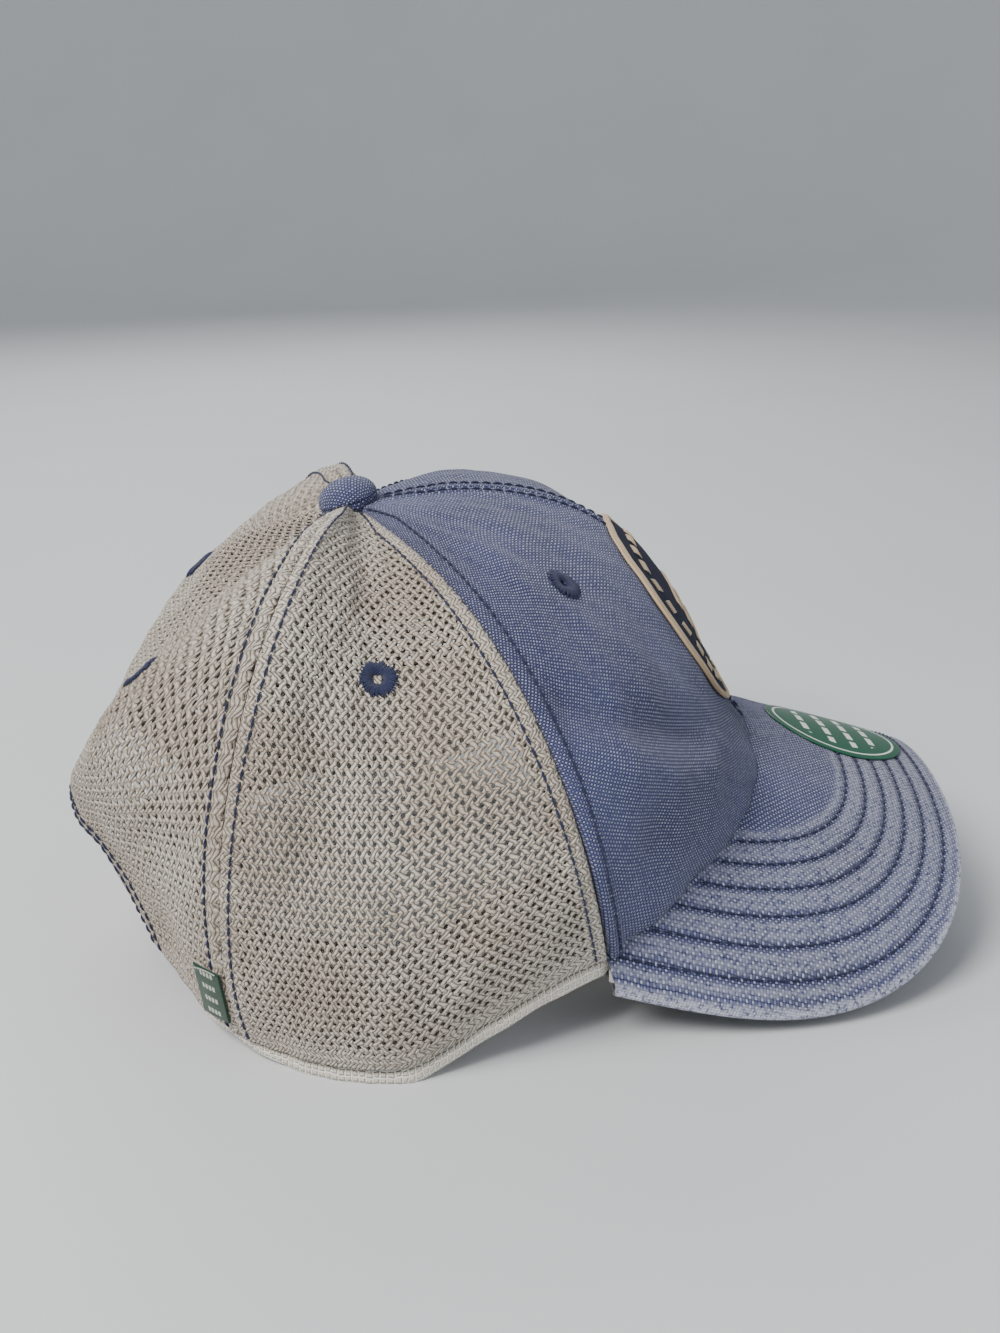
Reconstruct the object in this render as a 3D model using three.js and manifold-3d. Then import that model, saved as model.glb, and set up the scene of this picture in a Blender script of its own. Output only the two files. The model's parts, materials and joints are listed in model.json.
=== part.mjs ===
// Baseball cap with a net back: two canvas front panels and four net panels sewn
// round a covered button, a stiffened visor, a folded sweatband, an arched opening
// at the back with a plastic snap strap, and the trim that is sewn or stuck on.
//
// Millimetres. +Z is up, +X points to the tip of the visor and +Y to the wearer's
// left. The cap lies relaxed on its hem, with its origin on the surface it lies on.

import * as THREE from 'three';
import { mergeVertices } from 'three/addons/utils/BufferGeometryUtils.js';
import Module from 'manifold-3d';

const wasm = await Module();
wasm.setup();

// ---- Driving dimensions -------------------------------------------------------

// Crown: the hem is an oval, and the panels meet under the button.
const hemLength = 174;
const hemWidth = 184;
const crownHeight = 107;
const panelThickness = 1.0;
const panelTip = 0.982;          // how far up its meridian a panel ends, 1 is the button's middle
const panelColumns = 9;

// Every sewn face keeps this gap to the next piece.
const sewnGap = 0.3;
const layerGap = 0.5;            // between broad bent sheets that lie on each other

// Tapes that cover the seams inside, and the facing round the opening.
const tapeWidth = 11;
const tapeThickness = 0.5;
const tapeEnd = 0.88;

// Sweatband: a folded band just inside the hem that shows a little below it.
const sweatbandHeight = 30;
const sweatbandThickness = 2.0;
const sweatbandShow = 5.5;
const showFadeStart = 3.4;        // stations between which the part that shows narrows
const showEnd = 5;
const leastShow = 0.1;            // share of it left at the strap
const restDrop = 5.0;            // the surface the cap lies on, below the hem plane

// Visor: a curved board between two cloths.
const visorLength = 53;
const visorOverhang = 4;         // how far its sides stand out past the front seams
const visorDrop = 50;            // how far its sides fall below its middle line
const visorSlope = 0.306;
const visorRootHeight = 45.5;
const visorSquareness = 3.6;
const visorSweepBack = 9;         // centre of its outline, behind the front seams
const visorTail = 1.5;            // ends of its outline, ahead of the front seams
const visorClothThickness = 0.7;
const boardThickness = 1.6;
const boardInset = 1.4;

// Opening at the back and the strap across it.
const openingWidth = 76;
const openingHeight = 47;
const openingLegHeight = 21;
const facingWidth = 8;
const strapHeight = 18;
const strapThickness = 1.3;
const strapLift = 1.5;           // strap's lower edge above the hem
const strapOverlap = 36;
const strapTabLength = 9;
const strapPlay = 0.4;            // between the two straps
const strapHingeGap = 0.9;
const strapHingeInset = 1.5;      // the bending line's distance inside the opening's leg
const snapPitch = 8.5;
const snapCount = 6;
const snapsEngaged = 4;           // pegs that sit in holes, centred on the overlap
const pegRadius = 1.9;
const pegTipRadius = 1.4;
const pegHeight = 2.6;
const snapHoleRadius = 2.45;

// Button on top.
const buttonRadius = 7.8;
const buttonHeight = 5.4;
const buttonShell = 0.8;
const shankRadius = 1.6;
const washerRadius = 5.2;
const washerThickness = 0.8;

// Eyelets: a stitched ring round each vent hole.
const eyeletRadius = 4.4;
const eyeletHole = 1.3;
const eyeletNeck = 2.5;
const eyeletThickness = 0.8;
const eyeletBevel = 0.4;
const eyeletSeat = 0.85;         // flange's gap to the bent panel

// Trim.
const patchRadius = 30;
const patchCentre = 0.37;        // along the front seam, 0 at the visor and 1 at the button
const patchThickness = 0.9;
const patchBorderWidth = 1.8;
const patchBorderThickness = 1.4;
const patchBumps = 40;
const stickerRadius = 19;
const stickerThickness = 0.3;
const stickerMargin = 6;          // from the visor's front edge
const stickerAside = 8;           // towards the wearer's left
const sideLabelHeight = 14;
const sideLabelLength = 9;
const sideLabelLift = 4;
const sideLabelGap = 0.6;         // from the cloth, with room for the seam's thread
const labelThickness = 0.6;
const careLabelWidth = 24;
const careLabelHeight = 20;
const careLabelStation = 4.45;    // just behind the left side panel

// ---- Materials ----------------------------------------------------------------

function finish(colour, roughness, metalness = 0) {
  return new THREE.MeshStandardMaterial({ color: colour, roughness, metalness });
}

const canvas = finish(0x5a6690, 0.95);
const net = finish(0xb4a898, 0.8);
const navyThread = finish(0x262c44, 0.8);
const tapeCloth = finish(0xe4dfd2, 0.9);
const terry = finish(0xe9e3d2, 0.95);
const charcoalTwill = finish(0x45474c, 0.95);
const boardPlastic = finish(0xd9d8d2, 0.6);
const strapPlastic = finish(0xd8d2c2, 0.4);
const tinnedSteel = finish(0xb9babb, 0.35, 1);
const patchTwill = finish(0x1b2036, 0.9);
const patchThread = finish(0xc7ae8c, 0.8);
const greenRibbon = finish(0x1e4a38, 0.85);
const whiteRibbon = finish(0xece9e0, 0.85);
const stickerFilm = finish(0x1d5740, 0.45);

// ---- Solids from grids --------------------------------------------------------

// A closed thin solid from two grids of points, one for each face. The rims are
// joined; a ring is also joined from its last column to its first.
function closedSheet(face, back, ring = false) {
  const rows = face.length;
  const columns = face[0].length;
  const at = (layer, i, j) => (layer * rows + i) * columns + (j % columns);
  const index = [];
  const quad = (a, b, c, d) => index.push(a, b, c, a, c, d);
  const spans = ring ? columns : columns - 1;
  for (let i = 0; i < rows - 1; i += 1) {
    for (let j = 0; j < spans; j += 1) {
      quad(at(0, i, j), at(0, i, j + 1), at(0, i + 1, j + 1), at(0, i + 1, j));
      quad(at(1, i, j), at(1, i + 1, j), at(1, i + 1, j + 1), at(1, i, j + 1));
    }
    if (!ring) {
      const end = columns - 1;
      quad(at(0, i, 0), at(0, i + 1, 0), at(1, i + 1, 0), at(1, i, 0));
      quad(at(0, i + 1, end), at(0, i, end), at(1, i, end), at(1, i + 1, end));
    }
  }
  for (let j = 0; j < spans; j += 1) {
    const top = rows - 1;
    quad(at(0, 0, j + 1), at(0, 0, j), at(1, 0, j), at(1, 0, j + 1));
    quad(at(0, top, j), at(0, top, j + 1), at(1, top, j + 1), at(1, top, j));
  }
  const points = [...face.flat(), ...back.flat()];
  return outward(points, index);
}

// The geometry of a closed mesh, with its faces turned to point outwards.
function outward(points, index) {
  let volume = 0;
  const product = new THREE.Vector3();
  for (let k = 0; k < index.length; k += 3) {
    const [a, b, c] = [points[index[k]], points[index[k + 1]], points[index[k + 2]]];
    volume += a.dot(product.crossVectors(b, c));
  }
  const turned = volume > 0 ? index : [...index].reverse();
  const geometry = new THREE.BufferGeometry().setFromPoints(points);
  geometry.setIndex(turned);
  geometry.computeVertexNormals();
  return geometry;
}

// A grid of points: rows and columns are lists of values, point works out each.
function grid(rows, columns, point) {
  return rows.map((row) => columns.map((column) => point(row, column)));
}

// Evenly spaced values from first to last.
function spread(first, last, steps) {
  return Array.from({ length: steps + 1 }, (_, k) => first + ((last - first) * k) / steps);
}

function toSolid(geometry) {
  const bare = geometry.clone();
  bare.deleteAttribute('normal');
  bare.deleteAttribute('uv');
  const merged = mergeVertices(bare, 1e-4);
  return new wasm.Manifold(new wasm.Mesh({
    numProp: 3,
    vertProperties: new Float32Array(merged.attributes.position.array),
    triVerts: new Uint32Array(merged.index.array),
  }));
}

function toGeometry(solid) {
  const mesh = solid.getMesh();
  const geometry = new THREE.BufferGeometry();
  geometry.setAttribute('position', new THREE.BufferAttribute(mesh.vertProperties, 3));
  geometry.setIndex(new THREE.BufferAttribute(mesh.triVerts, 1));
  geometry.computeVertexNormals();
  return geometry;
}

// A turned piece: the profile's points are (radius, height) and it closes on itself.
function turned(profile, segments) {
  const points = profile.map(([radius, height]) => new THREE.Vector2(radius, height));
  const lathe = new THREE.LatheGeometry([...points, points[0]], segments);
  return toGeometry(toSolid(lathe));
}

// ---- Visor's surface ----------------------------------------------------------

const stretchX = hemLength / 174;
const stretchY = hemWidth / 184;
const stretchZ = crownHeight / 107;

const frontX = 94 * stretchX;
const frontSeamX = 49 * stretchX;
const frontSeamY = 78 * stretchY;
const visorHalfWidth = frontSeamY + visorOverhang;
const visorRadius = (visorHalfWidth ** 2 + visorDrop ** 2) / (2 * visorDrop);
const visorCentreX = frontSeamX - visorSweepBack;

// Height of the visor's upper face: a cylinder along X that slopes down forwards.
function visorTop(x, y) {
  const fall = visorRadius - Math.sqrt(visorRadius ** 2 - y ** 2);
  return visorRootHeight - visorSlope * (x - frontX) - fall;
}

function visorNormal(x, y) {
  const steep = y / Math.sqrt(visorRadius ** 2 - y ** 2);
  return new THREE.Vector3(visorSlope, steep, 1).normalize();
}

// ---- Crown's surface ----------------------------------------------------------
//
// Each side of the crown has seven meridians: 0 the front seam, 1 the middle of the
// front panel, 2 the seam behind it, 3 the middle of the side panel, 4 the seam
// behind that, 5 the middle of the back panel and 6 the back seam. A meridian is a
// Bezier curve from the hem over two handles to the button. Between meridians the
// four controls run along smooth rings. The handles are drawn for a hem of 174 by
// 184 and a height of 107, and stretch with those sizes. They give the slumped
// shape of a worn cap: a brow over the visor, full sides and a drooping back.

const apex = stretched([-10, 0, 107]);

const hemRing = [
  [94, 0, 0], [87, 45, 0], [49, 78, 0], [-3, 92, -1], [-37, 78, 0], [-63, 40, 3], [-78, 0, 5],
].map(stretched);

const lowRing = [
  [76, 0, 62], [64, 80, 70], [42, 104, 64], [-3, 102, 50], [-48, 84, 42], [-78, 28, 42],
  [-128, 0, 26],
].map(stretched);

const highRing = [
  [75, 0, 127], [42, 62, 123], [30, 77, 106], [3, 68, 108], [-22, 90, 128], [-92, 88, 76],
  [-44, 0, 76],
].map(stretched);

function stretched([x, y, z]) {
  return new THREE.Vector3(x * stretchX, y * stretchY, z * stretchZ);
}

// The point of a ring at station u, on a Catmull-Rom curve mirrored at both ends.
function onRing(ring, u) {
  const mirrored = (point) => new THREE.Vector3(point.x, -point.y, point.z);
  const station = (k) => {
    if (k < 0) return mirrored(ring[-k]);
    if (k > 6) return mirrored(ring[12 - k]);
    return ring[k];
  };
  const k = Math.min(Math.max(Math.floor(u), 0), 5);
  const t = u - k;
  const [a, b, c, d] = [station(k - 1), station(k), station(k + 1), station(k + 2)];
  const blend = (p, q, r, s) => 0.5 * (
    2 * q + (r - p) * t + (2 * p - 5 * q + 4 * r - s) * t ** 2 + (3 * q - p - 3 * r + s) * t ** 3
  );
  return new THREE.Vector3(blend(a.x, b.x, c.x, d.x), blend(a.y, b.y, c.y, d.y),
    blend(a.z, b.z, c.z, d.z));
}

// The hem sits on the visor as far back as the front seam, then falls to the hem plane.
function onVisor(x, y) {
  return visorTop(x, y) + sewnGap / visorNormal(x, y).z;
}

const frontSeamHem = onVisor(frontSeamX, frontSeamY);

function hemHeight(u, x, y) {
  if (u <= 2) return onVisor(x, y);
  const fade = Math.max(0, 3 - u);
  const ease = fade ** 2 * (3 - 2 * fade);
  return onRing(hemRing, u).z * (1 - ease) + frontSeamHem * ease;
}

// The hem's point, moved level towards the inside of the cap by depth.
function hemPoint(u, depth) {
  const step = 0.01;
  const point = onRing(hemRing, u);
  const along = onRing(hemRing, Math.min(u + step, 6)).sub(onRing(hemRing, Math.max(u - step, 0)));
  const inward = new THREE.Vector2(-along.y, along.x).normalize();
  if (inward.dot(new THREE.Vector2(point.x, point.y)) > 0) inward.negate();
  const x = point.x + inward.x * depth;
  const y = point.y + inward.y * depth;
  return new THREE.Vector3(x, y, hemHeight(u, x, y));
}

function skin(u, v) {
  const w = 1 - v;
  return new THREE.Vector3()
    .addScaledVector(hemPoint(u, 0), w ** 3)
    .addScaledVector(onRing(lowRing, u), 3 * w ** 2 * v)
    .addScaledVector(onRing(highRing, u), 3 * w * v ** 2)
    .addScaledVector(apex, v ** 3);
}

// Directions on the wearer's left half: along the hem towards the back, up towards
// the button, and out of the cap.
function skinFrame(u, v) {
  const step = 0.01;
  const around = skin(Math.min(u + step, 6), v).sub(skin(Math.max(u - step, 0), v)).normalize();
  const up = skin(u, Math.min(v + step, 0.999)).sub(skin(u, Math.max(v - step, 0))).normalize();
  const out = new THREE.Vector3().crossVectors(up, around).negate().normalize();
  return { around, up, out };
}

// A point of the crown at station u and height v, depth inside its outer face.
// Side is 1 on the wearer's left and -1 on the right.
function crown(u, v, side, depth = 0) {
  const point = skin(u, v);
  const near = (1 - v) ** 5;
  const { out } = skinFrame(u, v);
  point.addScaledVector(out, -depth * (1 - near));
  point.addScaledVector(hemPoint(u, depth).sub(hemPoint(u, 0)), near);
  point.y *= side;
  return point;
}

// How far up a meridian a tape measure from the hem reaches at the given length.
function climb(u, length) {
  const steps = 400;
  let walked = 0;
  let last = skin(u, 0);
  for (let k = 1; k <= steps; k += 1) {
    const next = skin(u, k / steps);
    walked += next.distanceTo(last);
    if (walked >= length) return k / steps;
    last = next;
  }
  return 1;
}

// The station that is a given distance along the ring at height v from the front seam.
function stride(v, distance) {
  const steps = 40;
  let u = 0;
  for (let k = 0; k < steps; k += 1) {
    const speed = skin(u + 0.01, v).distanceTo(skin(u, v)) / 0.01;
    u += distance / steps / speed;
  }
  return u;
}

// Station width that a distance in millimetres has at (u, v).
function stationsFor(distance, u, v) {
  const a = Math.max(u - 0.05, 0);
  const b = Math.min(u + 0.05, 6);
  return (distance * (b - a)) / skin(a, v).distanceTo(skin(b, v));
}

// Where the sheets lie below the crown's outer face.
const tapeDepth = panelThickness + layerGap;
const sweatbandDepth = tapeDepth + tapeThickness + layerGap;

// ---- Opening's outline --------------------------------------------------------

// Half the opening's width at height v, and the heights of its corner and its top.
const openingCorner = climb(5, openingLegHeight);

function openingTop(grow) {
  return climb(6, openingHeight + grow);
}

// The station where the crown is y away from the middle plane, at height v.
function stationAt(y, v) {
  let low = 4;
  let high = 6;
  for (let k = 0; k < 30; k += 1) {
    const middle = (low + high) / 2;
    if (skin(middle, v).y > y) low = middle;
    else high = middle;
  }
  return low;
}

// The outline's point at an angle: 0 and below is the straight leg, 90 degrees the top.
function openingEdge(angle, grow) {
  const half = openingWidth / 2 + grow;
  if (angle <= 0) {
    const v = openingCorner * (1 + angle);
    return { u: stationAt(half, v), v };
  }
  const v = openingCorner + (openingTop(grow) - openingCorner) * Math.sin(angle);
  return { u: stationAt(half * Math.cos(angle), v), v };
}

const legAngles = [-1, -0.75, -0.5, -0.25];
const archAngles = spread(0, Math.PI / 2, 9);

// ---- Panels -------------------------------------------------------------------

const eyelets = [
  { name: 'front', u: 0.92, v: 0.60 },
  { name: 'side', u: 3.0, v: 0.59 },
  { name: 'back', u: 4.9, v: 0.70 },
];

const panelShares = spread(0, 1, panelColumns);

// Half the gap between two panels. Near the button, where their edges lean towards each
// other, the gap widens with the cloth's thickness.
function besideSeam(u, v) {
  const nearTop = Math.max(0, (v - 0.85) / (panelTip - 0.85));
  return stationsFor(sewnGap * 0.7 + 0.3 * panelThickness * nearTop, u, v);
}

// A panel between two seams, from the hem to its tip.
function panelSheet(first, last, side) {
  const heights = [...spread(0, 0.9, 12), 0.945, panelTip];
  const point = (depth) => (v, share) => {
    const start = first + besideSeam(first, v);
    const end = last - besideSeam(last, v);
    return crown(start + (end - start) * share, v, side, depth);
  };
  return closedSheet(grid(heights, panelShares, point(0)),
    grid(heights, panelShares, point(panelThickness)));
}

// The back panel also stops at the opening's edge.
function backPanelSheet(side) {
  const upper = spread(openingTop(0), 0.92, 9).slice(1);
  const edges = [...legAngles, ...archAngles].map((angle) => openingEdge(angle, 0));
  const rows = [...edges, ...[...upper, panelTip].map((v) => ({ u: 6, v }))];
  const point = (depth) => ({ u, v }, share) => {
    const start = 4 + besideSeam(4, v);
    const end = Math.min(u, 6 - besideSeam(6, v));
    return crown(start + (end - start) * share, v, side, depth);
  };
  return closedSheet(grid(rows, panelShares, point(0)),
    grid(rows, panelShares, point(panelThickness)));
}

// The crown's frame at a point, as a matrix whose +Y points out of the crown.
function placeOn(u, v, side, depth = 0) {
  const { up, out } = skinFrame(u, v);
  up.y *= side;
  out.y *= side;
  const across = new THREE.Vector3().crossVectors(out, up).normalize();
  const square = new THREE.Vector3().crossVectors(across, out);
  const matrix = new THREE.Matrix4().makeBasis(across, out, square);
  return matrix.setPosition(crown(u, v, side, depth));
}

function withVentHole(geometry, { u, v }, side) {
  const drill = new THREE.CylinderGeometry(eyeletNeck, eyeletNeck, 8, 20);
  drill.applyMatrix4(placeOn(u, v, side));
  return toGeometry(toSolid(geometry).subtract(toSolid(drill)));
}

// ---- Assembly -----------------------------------------------------------------

const cap = new THREE.Group();

function add(name, geometry, material) {
  const mesh = new THREE.Mesh(geometry, material);
  mesh.name = name;
  cap.add(mesh);
  return mesh;
}

const sides = [{ name: 'right', side: -1 }, { name: 'left', side: 1 }];

for (const { name, side } of sides) {
  const [front, middle, back] = eyelets;
  add(`front_panel_${name}`, withVentHole(panelSheet(0, 2, side), front, side), canvas);
  add(`side_panel_${name}`, withVentHole(panelSheet(2, 4, side), middle, side), net);
  add(`back_panel_${name}`, withVentHole(backPanelSheet(side), back, side), net);
}

// Eyelets: a neck through the panel with a stitched flange on each face.
const flange = eyeletSeat + eyeletThickness;
const eyeletProfile = [
  [eyeletHole, -panelThickness - flange],
  [eyeletRadius - eyeletBevel, -panelThickness - flange],
  [eyeletRadius - eyeletBevel / 2, -panelThickness - eyeletSeat],
  [eyeletNeck - sewnGap, -panelThickness - eyeletSeat],
  [eyeletNeck - sewnGap, eyeletSeat],
  [eyeletRadius, eyeletSeat],
  [eyeletRadius - eyeletBevel, flange],
  [eyeletHole + eyeletBevel, flange],
  [eyeletHole, flange - eyeletBevel],
];

for (const { name, side } of sides) {
  for (const eyelet of eyelets) {
    const ring = turned(eyeletProfile, 14);
    ring.applyMatrix4(placeOn(eyelet.u, eyelet.v, side));
    add(`eyelet_${eyelet.name}_${name}`, ring, navyThread);
  }
}

// Seam tapes lie on the inside of the crown, over the seams, down to the hem.
function tapeSheet(u, side, start, end) {
  const point = (depth) => (v, share) => {
    const away = stationsFor(tapeWidth / 2, u, v) * share;
    const station = u + away;
    const folded = station < 0 ? -station : Math.min(station, 12 - station);
    const flipped = station < 0 || station > 6 ? -side : side;
    return crown(folded, v, flipped, depth);
  };
  const heights = spread(start, end, 12);
  const shares = spread(-1, 1, 2);
  const inner = tapeDepth + tapeThickness;
  return closedSheet(grid(heights, shares, point(tapeDepth)), grid(heights, shares, point(inner)));
}

const overFacing = climb(6, openingHeight + facingWidth + 2 * sewnGap);
add('seam_tape_front', tapeSheet(0, 1, 0.01, tapeEnd), tapeCloth);
add('seam_tape_back', tapeSheet(6, 1, overFacing, tapeEnd), tapeCloth);
for (const { name, side } of sides) {
  add(`seam_tape_front_side_${name}`, tapeSheet(2, side, 0.01, tapeEnd), tapeCloth);
  add(`seam_tape_back_side_${name}`, tapeSheet(4, side, 0.01, tapeEnd), tapeCloth);
}

// Facing: the folded hem of the opening, from one leg over the arch to the other.
function facingSheet() {
  const leftHalf = [...legAngles, ...archAngles].map((angle) => ({ angle, side: 1 }));
  const rightHalf = leftHalf.slice(0, -1).reverse().map(({ angle }) => ({ angle, side: -1 }));
  const point = (depth) => ({ angle, side }, grow) => {
    const { u, v } = openingEdge(angle, grow);
    return crown(u, Math.max(v, 0.004), side, depth);
  };
  const rows = [...leftHalf, ...rightHalf];
  const widths = spread(sewnGap, facingWidth, 2);
  const inner = tapeDepth + tapeThickness;
  return closedSheet(grid(rows, widths, point(tapeDepth)), grid(rows, widths, point(inner)));
}

add('opening_facing', facingSheet(), net);

// Sweatband: it follows the crown up from the hem, and hangs plumb below it.
const strapTabStation = stationAt(openingWidth / 2 + strapTabLength + 2, openingCorner / 2);

function sweatbandSheet() {
  const stations = [
    ...spread(0, 4, 2 * panelColumns), ...spread(4, strapTabStation, 4).slice(1),
  ];
  const around = [
    ...stations.slice(1).reverse().map((u) => ({ u, side: -1 })),
    ...stations.map((u) => ({ u, side: 1 })),
  ];
  const fade = (u) => (showEnd - u) / (showEnd - showFadeStart);
  const showAt = (u) => sweatbandShow * Math.min(1, Math.max(leastShow, fade(u)));
  const levels = [-1, 0.001, 0.3, 0.65, 1];
  const point = (depth) => (level, { u, side }) => {
    const v = climb(u, sweatbandHeight * Math.max(level, 0));
    const place = crown(u, level > 0.01 ? v : 0, side, depth);
    if (level < 0) place.z = Math.max(place.z - showAt(u), -restDrop);
    return place;
  };
  const inner = sweatbandDepth + sweatbandThickness;
  return closedSheet(grid(levels, around, point(sweatbandDepth)), grid(levels, around, point(inner)));
}

add('sweatband', sweatbandSheet(), terry);

// ---- Visor --------------------------------------------------------------------

// The outline's point in plan: share runs from -1 at the right end over the tip to 1.
function visorRim(share, inset) {
  const length = frontX + visorLength - visorCentreX - inset;
  const half = visorHalfWidth - inset;
  const last = Math.atan2(half, frontSeamX + visorTail - visorCentreX);
  const turn = last * share;
  const wide = (Math.abs(Math.cos(turn)) / length) ** visorSquareness;
  const tall = (Math.abs(Math.sin(turn)) / half) ** visorSquareness;
  const reach = (wide + tall) ** (-1 / visorSquareness);
  return new THREE.Vector2(visorCentreX + reach * Math.cos(turn), reach * Math.sin(turn));
}

function visorRoot(share, inset) {
  const point = hemPoint(2 * Math.abs(share), panelThickness - inset);
  return new THREE.Vector2(point.x, point.y * (share < 0 ? -1 : 1));
}

// A point of the visor, depth below its upper face: square to it at the rim, and
// plumb at the root, where the crown stands on it.
function visorPoint(share, out, depth, inset) {
  const plan = visorRoot(share, inset).lerp(visorRim(share, inset), out);
  const normal = visorNormal(plan.x, plan.y);
  const plumb = new THREE.Vector3(0, 0, 1 / normal.z);
  const down = plumb.lerp(normal, out);
  return new THREE.Vector3(plan.x, plan.y, visorTop(plan.x, plan.y)).addScaledVector(down, -depth);
}

// The grid's columns meet the crown's, so that the hem's straight pieces lie on the visor's.
const visorShares = spread(-1, 1, 4 * panelColumns);
const boardTop = visorClothThickness + sewnGap;
const boardBottom = boardTop + boardThickness;
const underTop = boardBottom + sewnGap;
const visorThickness = underTop + visorClothThickness;
const visorMiddle = visorThickness / 2;

function boardSheet() {
  const steps = spread(0, 1, 4);
  const point = (depth) => (out, share) => visorPoint(share, out, depth, boardInset);
  return closedSheet(grid(steps, visorShares, point(boardTop)),
    grid(steps, visorShares, point(boardBottom)));
}

// Each cloth covers one face of the board and turns over its edge to the middle.
function visorClothSheet(faceDepth, innerDepth, lipDepth) {
  const steps = [...spread(0, 0.96, 4), 1, 2];
  const face = (step, share) => visorPoint(share, Math.min(step, 1),
    step > 1 ? lipDepth : faceDepth, 0);
  const lining = (step, share) => visorPoint(share, Math.min(step, 1),
    step > 1 ? lipDepth : innerDepth, step < 1 ? 0 : visorClothThickness);
  return closedSheet(grid(steps, visorShares, face), grid(steps, visorShares, lining));
}

add('visor_top_cloth',
  visorClothSheet(0, visorClothThickness, visorMiddle - sewnGap / 2), canvas);
add('visor_board', boardSheet(), boardPlastic);
add('visor_under_cloth',
  visorClothSheet(visorThickness, underTop, visorMiddle + sewnGap / 2), charcoalTwill);

// ---- Snap strap ---------------------------------------------------------------
//
// Two moulded straps bridge the opening on one arc. The arc touches the crown at
// the opening's legs and leans as the crown does there. Each strap swings on the
// thin line beside its sewn end, so that end is a piece of its own here.

const strapMiddle = climb(5, strapLift + strapHeight / 2);
const legStation = stationAt(openingWidth / 2, strapMiddle);
const legFrame = skinFrame(legStation, strapMiddle);
const strapDepth = sweatbandDepth + sewnGap;
const legPoint = crown(legStation, strapMiddle, 1, strapDepth);

// The direction straight up the strap: in the crown's face, with no sideways part.
const strapUp = legFrame.up.clone()
  .addScaledVector(legFrame.around, -legFrame.up.y / legFrame.around.y).normalize();
const strapLean = Math.atan2(strapUp.x, strapUp.z);
const strapTurn = new THREE.Matrix4().makeRotationY(strapLean);

// In the leaning frame the strap is upright. Its arc meets the leg at this slant.
const legLocal = legPoint.clone().applyMatrix4(strapTurn.clone().invert());
const aroundLocal = legFrame.around.clone().applyMatrix4(strapTurn.clone().invert());
const legSlant = Math.atan2(Math.abs(aroundLocal.x), Math.abs(aroundLocal.y));
const strapRadius = legLocal.y / Math.sin(legSlant);
const strapCentreX = legLocal.x + strapRadius * Math.cos(legSlant);

// A point of the strap's arc: along is the distance from the middle plane, towards
// the left, and depth is measured inwards.
function strapPoint(along, height, depth) {
  const angle = along / strapRadius;
  const radius = strapRadius - depth;
  return new THREE.Vector3(strapCentreX - radius * Math.cos(angle), radius * Math.sin(angle),
    legLocal.z + height);
}

const innerStrapDepth = strapThickness + strapPlay;
const legAlong = legSlant * strapRadius;
const hingeAlong = legAlong - strapHingeInset;
const strapTip = strapOverlap / 2;

// A flat length of strap from one distance along the arc to another, with a round tip.
function strapSheet(from, to, depth, round) {
  const direction = Math.sign(to - from);
  const radius = round ? strapHeight / 2 : 0;
  const straight = spread(from, to - direction * radius, 8).map((along) => ({ along, share: 1 }));
  const tip = round ? [25, 45, 60, 72, 82].map((degrees) => {
    const angle = (degrees * Math.PI) / 180;
    return { along: to - direction * radius * (1 - Math.sin(angle)), share: Math.cos(angle) };
  }) : [];
  const rows = [...straight, ...tip];
  const heights = [-strapHeight / 2, strapHeight / 2];
  const face = (inset) => ({ along, share }, height) => strapPoint(along, height * share, inset);
  return closedSheet(grid(rows, heights, face(depth)),
    grid(rows, heights, face(depth + strapThickness)));
}

// A round pin across the strap at a distance along it: radii at its outer and inner end.
function strapPin(along, outerDepth, innerDepth, outerRadius, innerRadius, segments) {
  const length = innerDepth - outerDepth;
  const pin = new THREE.CylinderGeometry(outerRadius, innerRadius, length, segments);
  const outer = strapPoint(along, 0, outerDepth);
  const inner = strapPoint(along, 0, innerDepth);
  const direction = outer.clone().sub(inner).normalize();
  const turn = new THREE.Quaternion().setFromUnitVectors(new THREE.Vector3(0, 1, 0), direction);
  pin.applyQuaternion(turn);
  return pin.translate(...outer.add(inner).multiplyScalar(0.5).toArray());
}

// Snaps stand at the same places on both straps, from each strap's tip towards its root.
const snapsAlong = spread(0, snapCount - 1, snapCount - 1)
  .map((k) => snapPitch * (k - (snapsEngaged - 1) / 2));

function holeStrap() {
  let solid = toSolid(strapSheet(-hingeAlong, strapTip, 0, true));
  for (const place of snapsAlong) {
    const hole = strapPin(-place, -2, strapThickness + 2, snapHoleRadius, snapHoleRadius, 16);
    solid = solid.subtract(toSolid(hole));
  }
  return toGeometry(solid);
}

function studStrap() {
  let solid = toSolid(strapSheet(hingeAlong, -strapTip, innerStrapDepth, true));
  for (const place of snapsAlong) {
    const root = innerStrapDepth + strapThickness / 2;
    const peg = strapPin(place, innerStrapDepth - pegHeight, root, pegTipRadius, pegRadius, 14);
    solid = solid.add(toSolid(peg));
  }
  return toGeometry(solid);
}

// The sewn ends: a short tab each, between the opening's facing and the sweatband.
function strapTab(side, depth) {
  const from = hingeAlong + strapHingeGap;
  return strapSheet(side * from, side * (from + strapTabLength), depth, false);
}

const strapPieces = [
  ['hole_strap', holeStrap()],
  ['hole_strap_tab', strapTab(-1, 0)],
  ['stud_strap', studStrap()],
  ['stud_strap_tab', strapTab(1, innerStrapDepth)],
];
for (const [name, geometry] of strapPieces) {
  add(name, geometry.applyMatrix4(strapTurn), strapPlastic);
}

// ---- Button -------------------------------------------------------------------
//
// A canvas-covered cap over a steel disc, held by a shank through the crown to a
// washer inside. It stands square to the crown's average slope at the top.

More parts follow.
